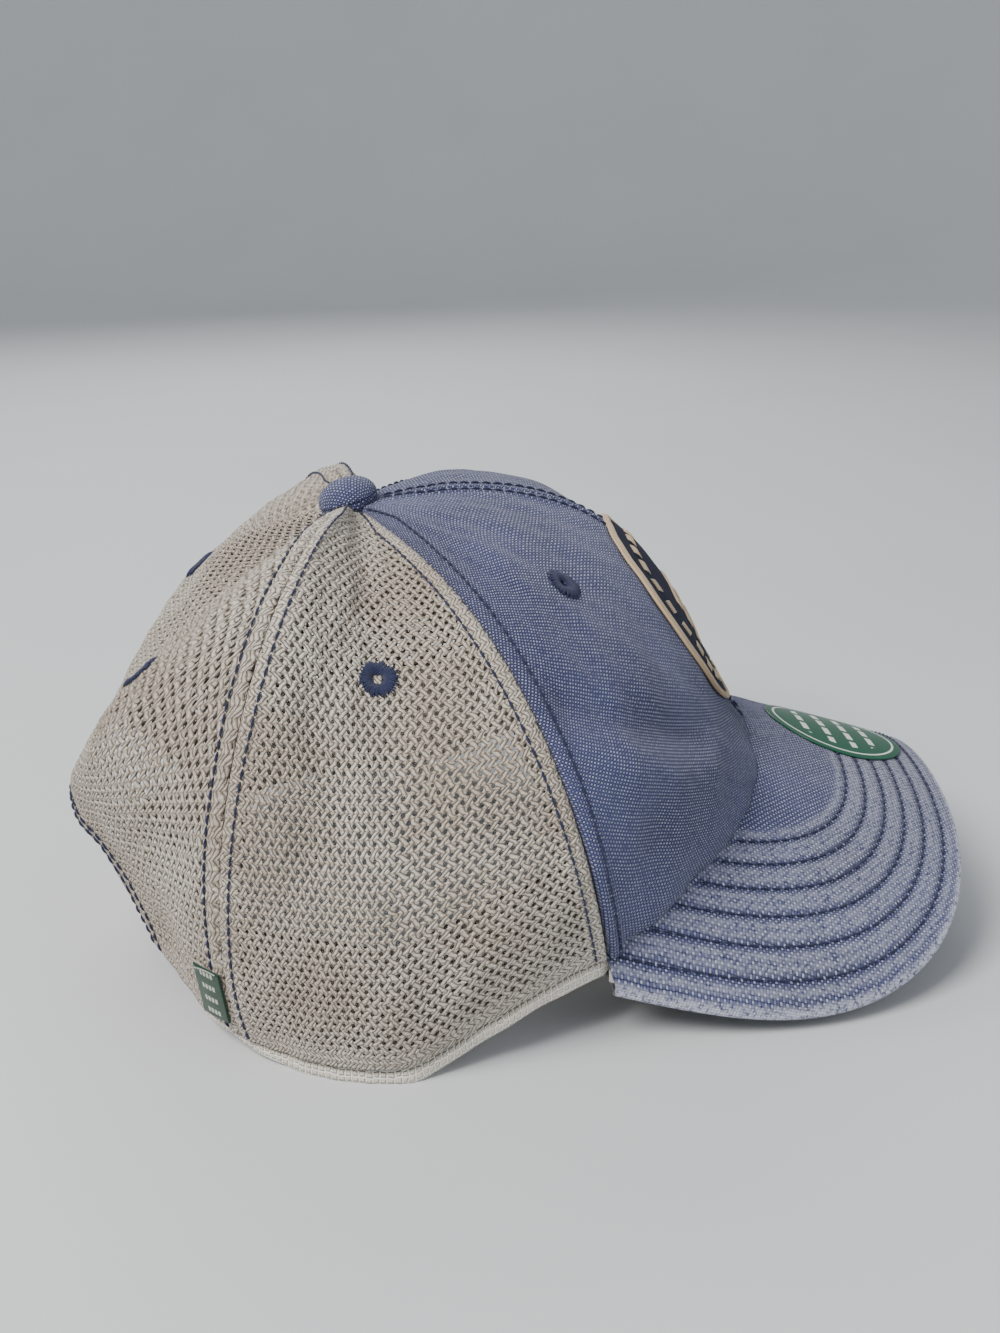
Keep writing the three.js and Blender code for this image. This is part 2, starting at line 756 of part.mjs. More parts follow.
function topFrame() {
  const around = spread(0, 6, 24);
  const normal = new THREE.Vector3();
  for (const u of around) {
    const { out } = skinFrame(u, 0.93);
    normal.x += out.x;
    normal.z += out.z;
  }
  normal.normalize();
  const turn = new THREE.Quaternion().setFromUnitVectors(new THREE.Vector3(0, 1, 0), normal);
  return { normal, turn };
}

const top = topFrame();

// How far the crown's outer face rises above the button's seat within a radius, and
// how far its inner face falls below it.
function crownReach(radius, depth) {
  const heights = [];
  for (const u of spread(0, 6, 36)) {
    for (const v of spread(0.85, panelTip, 20)) {
      const away = crown(u, v, 1, depth).sub(apex);
      const level = away.dot(top.normal);
      const flat = Math.sqrt(Math.max(0, away.lengthSq() - level ** 2));
      if (flat < radius + 0.8) heights.push(level);
    }
  }
  return { highest: Math.max(...heights), lowest: Math.min(...heights) };
}

function standOnTop(geometry) {
  return geometry.applyQuaternion(top.turn).translate(apex.x, apex.y, apex.z);
}

const seat = crownReach(buttonRadius, 0).highest + sewnGap;
const washerSeat = crownReach(washerRadius, panelThickness).lowest - sewnGap;

function domeArc(radius, height, base, steps) {
  return spread(0, Math.PI / 2, steps).map((angle) => [
    Math.max(radius * Math.cos(angle), 0), base + height * Math.sin(angle),
  ]);
}

function buttonCover() {
  const outer = domeArc(buttonRadius, buttonHeight, seat, 5);
  const inner = domeArc(buttonRadius - buttonShell, buttonHeight - buttonShell, seat, 4).reverse();
  return standOnTop(turned([...outer, ...inner], 24));
}

function buttonDisc() {
  const radius = buttonRadius - buttonShell - sewnGap;
  const dome = domeArc(radius, buttonHeight - buttonShell - sewnGap, seat, 6);
  const under = [[0, washerSeat + 0.1], [shankRadius, washerSeat + 0.1], [shankRadius, seat]];
  return standOnTop(turned([...dome, ...under], 24));
}

function buttonWasher() {
  const hole = shankRadius + sewnGap;
  return standOnTop(turned([
    [hole, washerSeat], [hole, washerSeat - washerThickness],
    [washerRadius - 0.4, washerSeat - washerThickness], [washerRadius, washerSeat - washerThickness / 2],
    [washerRadius, washerSeat],
  ], 20));
}

add('button_cover', buttonCover(), canvas);
add('button_disc', buttonDisc(), tinnedSteel);
add('button_washer', buttonWasher(), tinnedSteel);

// ---- Trim ---------------------------------------------------------------------

// The crown at a distance right of the front seam and above the patch's middle.
function onFront(right, above, outwards) {
  const middle = patchCentre;
  const speed = skin(0, middle + 0.01).distanceTo(skin(0, middle - 0.01)) / 0.02;
  const v = middle + above / speed;
  return crown(stride(v, Math.abs(right)), v, right > 0 ? -1 : 1, -outwards);
}

// A disc as a bent square, so that it has no pole: each side bows out to the circle.
function discPlan(radius, a, b) {
  return [radius * a * Math.sqrt(1 - b ** 2 / 2), radius * b * Math.sqrt(1 - a ** 2 / 2)];
}

function patchBase() {
  const radius = patchRadius - patchBorderWidth - sewnGap;
  const steps = spread(-1, 1, 10);
  const point = (outwards) => (a, b) => onFront(...discPlan(radius, a, b), outwards);
  return closedSheet(grid(steps, steps, point(sewnGap + patchThickness)),
    grid(steps, steps, point(sewnGap)));
}

function patchBorder() {
  const turns = spread(0, 2 * Math.PI, patchBumps).slice(0, -1);
  const section = [patchRadius, patchRadius - patchBorderWidth];
  const point = (outwards) => (radius, turn) => onFront(
    radius * Math.cos(turn), radius * Math.sin(turn), outwards,
  );
  return closedSheet(grid(section, turns, point(sewnGap + patchBorderThickness)),
    grid(section, turns, point(sewnGap)), true);
}

add('patch_base', patchBase(), patchTwill);
add('patch_border', patchBorder(), patchThread);

// Sticker: a thin disc on the visor, a little left of its middle line.
const stickerX = frontX + visorLength - stickerRadius - stickerMargin;

function stickerSheet() {
  const steps = spread(-1, 1, 8);
  const point = (above) => (a, b) => {
    const [x, y] = discPlan(stickerRadius, a, b);
    const [placeX, placeY] = [stickerX + x, stickerAside + y];
    return new THREE.Vector3(placeX, placeY, visorTop(placeX, placeY))
      .addScaledVector(visorNormal(placeX, placeY), above);
  };
  return closedSheet(grid(steps, steps, point(sewnGap + stickerThickness)),
    grid(steps, steps, point(sewnGap)));
}

add('visor_sticker', stickerSheet(), stickerFilm);

// Side label: a folded ribbon sewn into the seam behind the right side panel, free
// at its rear edge. It lies flat, so it is a plate in the crown's frame there.
const labelV = climb(4, sideLabelLift + sideLabelHeight / 2);
const labelU = 4 + stationsFor(sideLabelGap, 4, labelV);
const labelFrame = skinFrame(labelU, labelV);
for (const direction of Object.values(labelFrame)) direction.y *= -1;
const labelStandOff = sideLabelGap + labelThickness / 2;
const labelEdge = crown(labelU, labelV, -1).addScaledVector(labelFrame.out, labelStandOff);

function sideLabel() {
  const plate = new THREE.BoxGeometry(sideLabelLength, labelThickness, sideLabelHeight);
  plate.translate(sideLabelLength / 2, 0, 0);
  const { around, out } = labelFrame;
  const upright = new THREE.Vector3().crossVectors(around, out).normalize();
  const square = new THREE.Vector3().crossVectors(upright, around).normalize();
  const matrix = new THREE.Matrix4().makeBasis(around, square, upright);
  return toGeometry(toSolid(plate.applyMatrix4(matrix.setPosition(labelEdge))));
}

add('side_label', sideLabel(), greenRibbon);

// Care label: sewn under the top edge of the sweatband inside the left back panel.
function careLabel() {
  const low = sweatbandHeight - careLabelHeight / 2;
  const half = stationsFor(careLabelWidth / 2, careLabelStation, climb(careLabelStation, low));
  const stations = spread(careLabelStation - half, careLabelStation + half, 4);
  const heights = spread(low, low + careLabelHeight, 4);
  const depth = sweatbandDepth + sweatbandThickness + sewnGap;
  const point = (inset) => (height, u) => crown(u, climb(u, height), 1, inset);
  return closedSheet(grid(heights, stations, point(depth)),
    grid(heights, stations, point(depth + labelThickness)));
}

add('care_label', careLabel(), whiteRibbon);

// ---- Place the cap on the surface it lies on ----------------------------------

const box = new THREE.Box3().setFromObject(cap);
const middle = box.getCenter(new THREE.Vector3());
cap.position.set(-middle.x, 0, -box.min.z);

// Hinge lines of the pieces that swing, in the cap's final frame.
const strapAxis = new THREE.Vector3(0, 0, 1).applyMatrix4(strapTurn);
const hingeAt = (along, depth) => strapPoint(along, 0, depth + strapThickness / 2)
  .applyMatrix4(strapTurn).add(cap.position);

cap.userData.hinges = {
  hole_strap: { point: hingeAt(-hingeAlong, 0), axis: strapAxis },
  stud_strap: { point: hingeAt(hingeAlong, innerStrapDepth), axis: strapAxis },
  side_label: { point: labelEdge.clone().add(cap.position), axis: labelFrame.up.clone() },
};

export default cap;
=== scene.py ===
# Baseball cap with a net back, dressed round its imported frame.
# The file follows the cap as it is sewn: crown, seams, eyelets, sweatband, visor,
# strap, button and trim. Lengths are in millimetres until a mesh is made.

import json
import math
import bpy
import numpy as np
from mathutils import Matrix, Vector

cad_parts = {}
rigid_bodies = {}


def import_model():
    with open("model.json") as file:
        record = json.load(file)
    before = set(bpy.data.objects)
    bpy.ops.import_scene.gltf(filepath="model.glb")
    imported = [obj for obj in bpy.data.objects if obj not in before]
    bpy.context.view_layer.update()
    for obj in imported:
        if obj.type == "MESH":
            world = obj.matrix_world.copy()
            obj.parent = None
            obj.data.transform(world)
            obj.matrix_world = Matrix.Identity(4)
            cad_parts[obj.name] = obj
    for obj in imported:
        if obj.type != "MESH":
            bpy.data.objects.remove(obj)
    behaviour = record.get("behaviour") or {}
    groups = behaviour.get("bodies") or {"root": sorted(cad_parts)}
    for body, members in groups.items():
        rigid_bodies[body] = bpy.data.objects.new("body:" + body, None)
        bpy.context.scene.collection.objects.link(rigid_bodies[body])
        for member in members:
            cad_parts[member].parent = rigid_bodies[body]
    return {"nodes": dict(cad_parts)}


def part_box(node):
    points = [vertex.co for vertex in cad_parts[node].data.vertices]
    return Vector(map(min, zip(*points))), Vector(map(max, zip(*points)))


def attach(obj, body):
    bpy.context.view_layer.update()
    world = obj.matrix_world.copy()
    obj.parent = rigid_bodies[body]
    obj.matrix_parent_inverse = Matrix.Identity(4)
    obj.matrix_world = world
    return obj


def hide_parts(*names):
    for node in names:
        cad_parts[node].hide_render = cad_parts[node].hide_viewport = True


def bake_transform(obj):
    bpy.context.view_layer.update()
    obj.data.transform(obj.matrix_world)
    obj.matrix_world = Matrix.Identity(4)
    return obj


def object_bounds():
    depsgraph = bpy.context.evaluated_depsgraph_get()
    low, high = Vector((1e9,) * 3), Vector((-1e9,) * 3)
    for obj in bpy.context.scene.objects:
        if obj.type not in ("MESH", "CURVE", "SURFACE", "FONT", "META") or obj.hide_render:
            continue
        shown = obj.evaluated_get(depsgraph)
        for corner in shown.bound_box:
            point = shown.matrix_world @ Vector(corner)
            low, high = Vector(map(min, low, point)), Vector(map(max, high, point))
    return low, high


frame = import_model()
cad_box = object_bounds()

# ---- Camera, floor and light ---------------------------------------------------
# The cap lies on a plain pale table, seen from the wearer's right and a little
# above, close by, in soft light from the upper left with a weaker fill.

SHIFT = np.array([
    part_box("visor_top_cloth")[1].x * 1000 - 147,
    0.0,
    5.0,
])


def look_from(azimuth, elevation, roll, distance, target):
    """Camera matrix: back points from the target to the eye, then a turn about it by roll."""
    a, e, r = (math.radians(value) for value in (azimuth, elevation, roll))
    back = Vector((math.sin(a) * math.cos(e), -math.cos(a) * math.cos(e), math.sin(e)))
    right = Vector((0, 0, 1)).cross(back).normalized()
    up = back.cross(right)
    turned_right = right * math.cos(r) + up * math.sin(r)
    turned_up = up * math.cos(r) - right * math.sin(r)
    place = Matrix((turned_right, turned_up, back)).transposed().to_4x4()
    place.translation = (Vector(target) + back * distance + Vector(SHIFT)) / 1000
    return place


camera = bpy.data.objects.new("camera", bpy.data.cameras.new("camera"))
bpy.context.collection.objects.link(camera)
camera.data.lens = 40.5
camera.data.sensor_width = 36
camera.data.clip_start = 0.01
camera.matrix_world = look_from(-2.1, 19.7, -1.1, 406, (28, 0, 61.5))
bpy.context.scene.camera = camera


def area_light(name, place, size, power, colour):
    """A soft rectangular light that faces the cap's middle."""
    lamp = bpy.data.lights.new(name, "AREA")
    lamp.energy = power
    lamp.size = size
    lamp.color = colour
    holder = bpy.data.objects.new(name, lamp)
    holder.location = place
    holder.rotation_euler = (Vector((0, 0, 0.05)) - Vector(place)).to_track_quat("-Z", "Y").to_euler()
    bpy.context.collection.objects.link(holder)


area_light("key", (-0.60, -0.55, 0.95), 0.55, 19, (1.0, 0.97, 0.93))
area_light("fill", (0.95, -0.65, 0.55), 0.9, 4, (0.93, 0.96, 1.0))
area_light("rim", (-0.2, 0.95, 0.75), 0.8, 6, (1.0, 0.98, 0.95))

world = bpy.data.worlds.new("studio")
world.use_nodes = True
world.node_tree.nodes["Background"].inputs["Color"].default_value = (0.82, 0.86, 0.92, 1)
world.node_tree.nodes["Background"].inputs["Strength"].default_value = 0.42
bpy.context.scene.world = world


def make_mixed(name, points, faces, uv=None, smooth_faces=True):
    """A mesh object from points in the crown's millimetres and lists of corner numbers."""
    mesh = bpy.data.meshes.new(name)
    mesh.from_pydata(((np.asarray(points) + SHIFT) / 1000).tolist(), [], faces)
    if uv is not None:
        corners = np.empty(len(mesh.loops), np.int32)
        mesh.loops.foreach_get("vertex_index", corners)
        layer = mesh.uv_layers.new(name="UVMap")
        layer.data.foreach_set("uv", np.asarray(uv, np.float32)[corners].ravel())
    mesh.polygons.foreach_set("use_smooth", np.full(len(mesh.polygons), smooth_faces))
    mesh.update()
    piece = bpy.data.objects.new(name, mesh)
    bpy.context.collection.objects.link(piece)
    return piece


def make_mesh(name, points, faces, uv=None):
    """The same from an array of faces that all have the same number of corners."""
    return make_mixed(name, points, np.asarray(faces).tolist(), uv)


def quads(rows, columns, first=0, wrap=False):
    """Corner numbers of the squares of a grid, row by row; wrap joins the last column to the first."""
    i, j = np.meshgrid(np.arange(rows - 1), np.arange(columns if wrap else columns - 1), indexing="ij")
    k = (j + 1) % columns
    return (first + np.stack([i * columns + j, i * columns + k, (i + 1) * columns + k,
                              (i + 1) * columns + j], -1)).reshape(-1, 4)


def studio_floor():
    """A flat round floor whose far rim curves up into a wall, with no line between them."""
    radius = np.concatenate([[1], np.linspace(300, 1500, 5),
                             1500 + 700 * np.sin(np.linspace(0.1, 1, 10) * np.pi / 2)])
    height = np.concatenate([np.zeros(6), 700 - 700 * np.cos(np.linspace(0.1, 1, 10) * np.pi / 2)])
    turn = np.arange(64) * 2 * np.pi / 64
    points = np.stack([radius[:, None] * np.cos(turn), radius[:, None] * np.sin(turn),
                       np.broadcast_to(height[:, None] - 5.02, (16, 64))], -1).reshape(-1, 3)
    faces = quads(16, 64, wrap=True)[:, ::-1]
    return make_mixed("floor", points, faces.tolist() + [list(range(64))])


floor = studio_floor()


class Paint:
    """A material and short calls that add nodes to it."""

    def __init__(self, name, roughness=0.9, sheen=0.0, metallic=0.0, specular=0.3):
        self.material = bpy.data.materials.new(name)
        self.material.use_nodes = True
        self.tree = self.material.node_tree
        self.shader = self.tree.nodes["Principled BSDF"]
        self.shader.inputs["Roughness"].default_value = roughness
        self.shader.inputs["Metallic"].default_value = metallic
        self.shader.inputs["Specular IOR Level"].default_value = specular
        self.shader.inputs["Sheen Weight"].default_value = sheen
        self.shader.inputs["Sheen Roughness"].default_value = 0.4

    def node(self, kind, **values):
        made = self.tree.nodes.new(kind)
        for key, value in values.items():
            setattr(made, key, value)
        return made

    def join(self, source, socket):
        if isinstance(source, (int, float, tuple)):
            socket.default_value = source
        else:
            self.tree.links.new(source, socket)

    def place(self, kind="Object"):
        return self.node("ShaderNodeTexCoord").outputs[kind]

    def scaled(self, vector, scale, turn=0.0):
        made = self.node("ShaderNodeMapping")
        made.inputs["Scale"].default_value = scale
        made.inputs["Rotation"].default_value = (0, 0, turn)
        self.join(vector, made.inputs["Vector"])
        return made.outputs[0]

    def math(self, operation, a, b=0.5, c=0.5):
        made = self.node("ShaderNodeMath", operation=operation)
        for source, socket in zip((a, b, c), made.inputs):
            self.join(source, socket)
        return made.outputs[0]

    def parts(self, vector):
        made = self.node("ShaderNodeSeparateXYZ")
        self.join(vector, made.inputs[0])
        return made.outputs

    def noise(self, vector, scale, detail=3.0):
        made = self.node("ShaderNodeTexNoise")
        made.inputs["Scale"].default_value = scale
        made.inputs["Detail"].default_value = detail
        self.join(vector, made.inputs["Vector"])
        return made.outputs["Fac"]

    def step(self, value, low, high):
        made = self.node("ShaderNodeMapRange", interpolation_type="SMOOTHSTEP")
        self.join(value, made.inputs["Value"])
        made.inputs["From Min"].default_value = low
        made.inputs["From Max"].default_value = high
        return made.outputs[0]

    def mix(self, share, a, b):
        made = self.node("ShaderNodeMix", data_type="RGBA")
        self.join(share, made.inputs["Factor"])
        self.join(a, made.inputs[6])
        self.join(b, made.inputs[7])
        return made.outputs[2]

    def colour(self, source):
        self.join(source, self.shader.inputs["Base Color"])

    def bump(self, height, distance, strength=1.0):
        made = self.node("ShaderNodeBump")
        made.inputs["Distance"].default_value = distance
        made.inputs["Strength"].default_value = strength
        self.join(height, made.inputs["Height"])
        self.join(made.outputs[0], self.shader.inputs["Normal"])


def table_finish():
    paint = Paint("table_finish", roughness=0.7)
    cloud = paint.noise(paint.place(), 6.0)
    paint.colour(paint.mix(cloud, (0.60, 0.62, 0.64, 1), (0.66, 0.68, 0.70, 1)))
    return paint.material


floor.data.materials.append(table_finish())

# ---- The crown's surface -------------------------------------------------------
# Seven meridians on each side: 0 the front seam, 2 and 4 the side seams, 6 the back
# seam, odd ones the panels' middles. Each runs from the hem over two handles to the
# button. It is the same surface that the frame's panels are cut from.

APEX = np.array([-10.0, 0, 107])
HEM = np.array([[94, 0, 0], [87, 45, 0], [49, 78, 0], [-3, 92, -1], [-37, 78, 0],
                [-63, 40, 3], [-78, 0, 5]], float)
LOW = np.array([[76, 0, 62], [64, 80, 70], [42, 104, 64], [-3, 102, 50], [-48, 84, 42],
                [-78, 28, 42], [-128, 0, 26]], float)
HIGH = np.array([[75, 0, 127], [42, 62, 123], [30, 77, 106], [3, 68, 108], [-22, 90, 128],
                 [-92, 88, 76], [-44, 0, 76]], float)
VISOR_ROOT, VISOR_SLOPE, VISOR_HALF, VISOR_DROP = 45.5, 0.306, 82.0, 50.0
VISOR_RADIUS = (VISOR_HALF ** 2 + VISOR_DROP ** 2) / (2 * VISOR_DROP)


def visor_top(x, y):
    """Height of the visor: a cylinder along X that slopes down to the front."""
    fall = VISOR_RADIUS - np.sqrt(VISOR_RADIUS ** 2 - np.minimum(np.abs(y), 91) ** 2)
    return VISOR_ROOT - VISOR_SLOPE * (x - 94) - fall


def on_visor(x, y):
    """Height of a hem that stands 0.3 mm off the visor, measured square to it."""
    steep = y / np.sqrt(VISOR_RADIUS ** 2 - np.minimum(np.abs(y), 91) ** 2)
    return visor_top(x, y) + 0.3 * np.sqrt(1 + VISOR_SLOPE ** 2 + steep ** 2)


def ring(stations, u):
    """Catmull-Rom curve through the stations, mirrored in the middle plane at both ends."""
    mirror = np.array([1, -1, 1])
    every = np.vstack([stations[2:0:-1] * mirror, stations, stations[5:3:-1] * mirror])
    k = np.clip(np.floor(u), 0, 5).astype(int)
    t = (u - k)[..., None]
    a, b, c, d = every[k + 1], every[k + 2], every[k + 3], every[k + 4]
    return 0.5 * (2 * b + (c - a) * t + (2 * a - 5 * b + 4 * c - d) * t ** 2
                  + (3 * b - a - 3 * c + d) * t ** 3)


def hem(u, depth=0.0):
    """The hem, moved level into the cap by depth; it stands on the visor up to station 2."""
    point = ring(HEM, u)
    along = ring(HEM, np.minimum(u + 0.01, 6)) - ring(HEM, np.maximum(u - 0.01, 0))
    inward = np.stack([-along[..., 1], along[..., 0]], -1)
    inward /= np.linalg.norm(inward, axis=-1, keepdims=True)
    inward *= -np.sign((inward * point[..., :2]).sum(-1, keepdims=True))
    x = point[..., 0] + inward[..., 0] * depth
    y = point[..., 1] + inward[..., 1] * depth
    fade = np.clip(3 - u, 0, 1)
    ease = fade ** 2 * (3 - 2 * fade)
    behind = point[..., 2] * (1 - ease) + on_visor(49.0, 78.0) * ease
    return np.stack([x, y, np.where(u <= 2, on_visor(x, y), behind)], -1)


def skin(u, v):
    """Cubic Bezier curve up each meridian: hem, low handle, high handle, button."""
    u, v = np.broadcast_arrays(np.asarray(u, float), np.asarray(v, float))
    t = v[..., None]
    return ((1 - t) ** 3 * hem(u) + 3 * (1 - t) ** 2 * t * ring(LOW, u)
            + 3 * (1 - t) * t ** 2 * ring(HIGH, u) + t ** 3 * APEX)


def unit(vectors):
    return vectors / np.maximum(np.linalg.norm(vectors, axis=-1, keepdims=True), 1e-9)


def directions(u, v):
    """Unit vectors round the hem towards the back, up to the button, and out of the crown."""
    around = unit(skin(np.minimum(u + 0.01, 6), v) - skin(np.maximum(u - 0.01, 0), v))
    up = unit(skin(u, np.minimum(v + 0.01, 0.999)) - skin(u, np.maximum(v - 0.01, 0)))
    return around, up, unit(np.cross(around, up))


def crown(u, v, side, depth=0.0):
    """A crown point, depth inside the outer face: level at the hem, square to it above."""
    u, v, depth = np.broadcast_arrays(np.asarray(u, float), np.asarray(v, float),
                                      np.asarray(depth, float))
    near = ((1 - v) ** 5)[..., None]
    out = directions(u, v)[2]
    point = skin(u, v) - out * (depth[..., None] * (1 - near)) + (hem(u, depth) - hem(u)) * near
    return point * np.array([1, side, 1])


def ring_speed(u, v):
    """Millimetres along the ring for one station."""
    a, b = np.maximum(u - 0.02, 0), np.minimum(u + 0.02, 6)
    return np.linalg.norm(skin(b, v) - skin(a, v), axis=-1) / (b - a)


def smooth(value, low, high):
    t = np.clip((value - low) / (high - low), 0, 1)
    return t * t * (3 - 2 * t)


def meridian_table(u, steps=400):
    """Lengths walked up a meridian at evenly spaced v."""
    v = np.linspace(0, 1, steps + 1)
    length = np.linalg.norm(np.diff(skin(np.full(steps + 1, float(u)), v), axis=0), axis=1)
    return v, np.concatenate([[0], np.cumsum(length)])


def climb(u, length):
    """The v at which a tape up meridian u from the hem reads length."""
    v, walked = meridian_table(u)
    return np.interp(length, walked, v)


def crease(u, v, start, end, width):
    """1 along a straight fold between two (u, v) places, fading over width millimetres."""
    scale = np.array([42.0, 160.0])
    place = np.stack([u, v], -1) * scale
    a, b = np.array(start) * scale, np.array(end) * scale
    share = np.clip(((place - a) @ (b - a)) / ((b - a) @ (b - a)), 0, 1)
    away = np.linalg.norm(place - a - share[..., None] * (b - a), axis=-1)
    return np.exp(-(away / width) ** 2)


SEAM_ROW = 3.6   # stitch rows lie this far from each seam


def folds(u, v, side):
    """Folds and ripples of a worn crown. Every layer of the crown follows them."""
    height = -3.0 * crease(u, v, (1.7, 0.47), (0.9, 0.24), 7)
    height += 1.3 * crease(u, v, (1.6, 0.33), (1.0, 0.17), 7)
    height += 1.8 * crease(u, v, (2.95, 0.02), (3.1, 0.42), 7)
    height -= 1.6 * crease(u, v, (4.6, 0.08), (4.5, 0.3), 8)
    height -= 1.4 * crease(u, v, (3.5, 0.12), (3.45, 0.5), 8)
    height += 1.3 * crease(u, v, (5.3, 0.42), (4.5, 0.62), 7)
    height -= 1.2 * crease(u, v, (5.6, 0.62), (4.7, 0.76), 6)
    nearest = 2 * np.round(u / 2)
    away = np.abs(u - nearest) * ring_speed(u, v)
    ripple = (np.sin(5.1 * u + 23 * v + 1.3 * side) + np.sin(11.7 * u - 9 * v + 0.6)
              + 0.7 * np.sin(17 * u + 31 * v + 2 * side) + 0.5 * np.sin(29 * u - 43 * v))
    return height + 0.24 * ripple * smooth(away, 1, 8) * smooth(1 - v, 0.03, 0.2)


def seams(u, v):
    """The doubled allowances beside a seam, with the seam's valley and stitch dimples."""
    nearest = 2 * np.round(u / 2)
    away = np.abs(u - nearest) * ring_speed(u, v)
    fade = smooth(1 - v, 0.02, 0.12)
    height = 0.7 * (1 - smooth(away, 3.9, 5.2)) * (0.35 + 0.65 * fade)
    height -= 1.3 * np.exp(-(away / 0.6) ** 2) * fade
    return height - 0.35 * np.exp(-((away - SEAM_ROW) / 0.55) ** 2) * fade


def relief(u, v, side):
    """How far the outer face stands out of the plain surface."""
    return folds(u, v, side) + seams(u, v)


# ---- Front panels --------------------------------------------------------------
# Two panels of washed slubby canvas, sewn to each other on the front seam and to
# the net behind. The warp and weft show white where the dye has washed out.

CANVAS_DARK = (0.045, 0.052, 0.135, 1)
CANVAS_BLUE = (0.085, 0.098, 0.230, 1)
CANVAS_PALE = (0.50, 0.53, 0.68, 1)


def canvas_finish(name, worn=False):
    """Plain weave on a UV map in millimetres. Where a weft thread lies on top it shows as
    a pale oval, staggered row by row; how pale it is varies along each slubby thread."""
    paint = Paint(name, roughness=0.93, sheen=0.2, specular=0.2)
    place = paint.place("UV")
    x, y, _ = paint.parts(place)
    wave_x = paint.math("SINE", paint.math("MULTIPLY", x, math.pi / 0.76))
    wave_y = paint.math("SINE", paint.math("MULTIPLY", y, math.pi / 0.58))
    over = paint.step(paint.math("MULTIPLY", wave_x, wave_y), 0.12, 0.62)
    slub = paint.noise(paint.scaled(place, (0.30, 2.1, 1)), 1.0, 3)
    patchy = paint.noise(paint.scaled(place, (1.1, 1.1, 1)), 1.0, 2)
    pale = paint.math("MULTIPLY", over, paint.math(
        "ADD", paint.step(slub, 0.36, 0.66), paint.math("MULTIPLY", patchy, 0.35)))
    broad = paint.step(paint.noise(paint.place(), 26.0, 4), 0.33, 0.68)
    base = paint.mix(broad, CANVAS_DARK, CANVAS_BLUE)
    thread = paint.math("ABSOLUTE", paint.math("MULTIPLY", wave_x, wave_y))
    ground = paint.mix(paint.step(thread, 0.02, 0.35), (0.012, 0.015, 0.045, 1), base)
    shaded = paint.mix(paint.math("MINIMUM", pale, 0.92), ground, CANVAS_PALE)
    if worn:
        edge = paint.node("ShaderNodeAttribute", attribute_name="worn").outputs["Fac"]
        rub = paint.math("MULTIPLY", edge, paint.step(paint.noise(paint.place(), 900, 3), 0.25, 0.6))
        shaded = paint.mix(rub, shaded, (0.70, 0.72, 0.82, 1))
    paint.colour(shaded)
    paint.bump(paint.math("ADD", paint.math("MULTIPLY", thread, 0.8), pale), 0.00022)
    return paint.material


canvas = canvas_finish("canvas_panel")


def open_rim(edges):
    """The edges of an outline that no neighbouring face shares."""
    key = np.sort(edges, axis=1)
    _, first, count = np.unique(key, axis=0, return_index=True, return_counts=True)
    single = edges[first[count == 1]]
    return single[:, 0], single[:, 1]


def shell(name, outer, inner, uv, material, flip=False, without=None):
    """A thin closed piece between two grids of points, with its rims joined. Faces whose
    first corner is marked in without are left out, which makes a hole."""
    rows, columns = outer.shape[:2]
    size = rows * columns
    top = quads(rows, columns)
    if without is not None:
        top = top[~without.ravel()[top[:, 0]]]
    edges = np.stack([top, np.roll(top, -1, axis=1)], -1).reshape(-1, 2)
    rim_from, rim_to = open_rim(edges)
    faces = np.vstack([top, top[:, ::-1] + size,
                       np.stack([rim_to, rim_from, rim_from + size, rim_to + size], -1)])
    if flip:
        faces = faces[:, ::-1]
    points = np.vstack([outer.reshape(-1, 3), inner.reshape(-1, 3)])
    used, faces = np.unique(faces, return_inverse=True)
    both = np.vstack([uv.reshape(-1, 2)] * 2)
    piece = make_mesh(name, points[used], faces.reshape(-1, 4), both[used])
    piece.data.materials.append(material)
    return piece


def cloth_coordinates(u, v, middle):
    """Millimetres across from the panel's middle and up from the hem."""
    v_table, walked = meridian_table(middle)
    return np.stack([(u - middle) * ring_speed(np.full_like(u, middle), v),
                     np.interp(v, v_table, walked)], -1)


SIDES = (("right", -1), ("left", 1))

for label, side in SIDES:
    u, v = np.meshgrid(np.linspace(0.0015, 1.9985, 150), np.linspace(0.0, 0.985, 230))
    outer = crown(u, v, side, -relief(u, v, side))
    inner = crown(u, v, side, 1.0 - folds(u, v, side))
    vent = np.linalg.norm(outer - crown(0.92, 0.60, side), axis=-1) < 1.5
    panel = shell(f"front_canvas_{label}", outer, inner, cloth_coordinates(u, v, 1.0),
                  canvas, flip=side < 0, without=vent)
    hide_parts(f"front_panel_{label}")
    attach(panel, "crown")

# ---- Net panels ----------------------------------------------------------------
# Four panels of knitted polyester net: rows of small holes, each row shifted by half
# a hole, with slanting bundles of shiny filament between them. The seam allowances
# are two layers thick, so the holes nearly close there.

NET_PITCH = 2.35
NET_ROW = 1.85
HOLE_NARROW, HOLE_TALL = 0.86, 1.05   # a hole is a little taller than it is wide
NET_THICKNESS = 0.55
OPENING_HALF = 38.0
OPENING_CORNER = float(climb(5, 21))
OPENING_TOP = float(climb(6, 47))


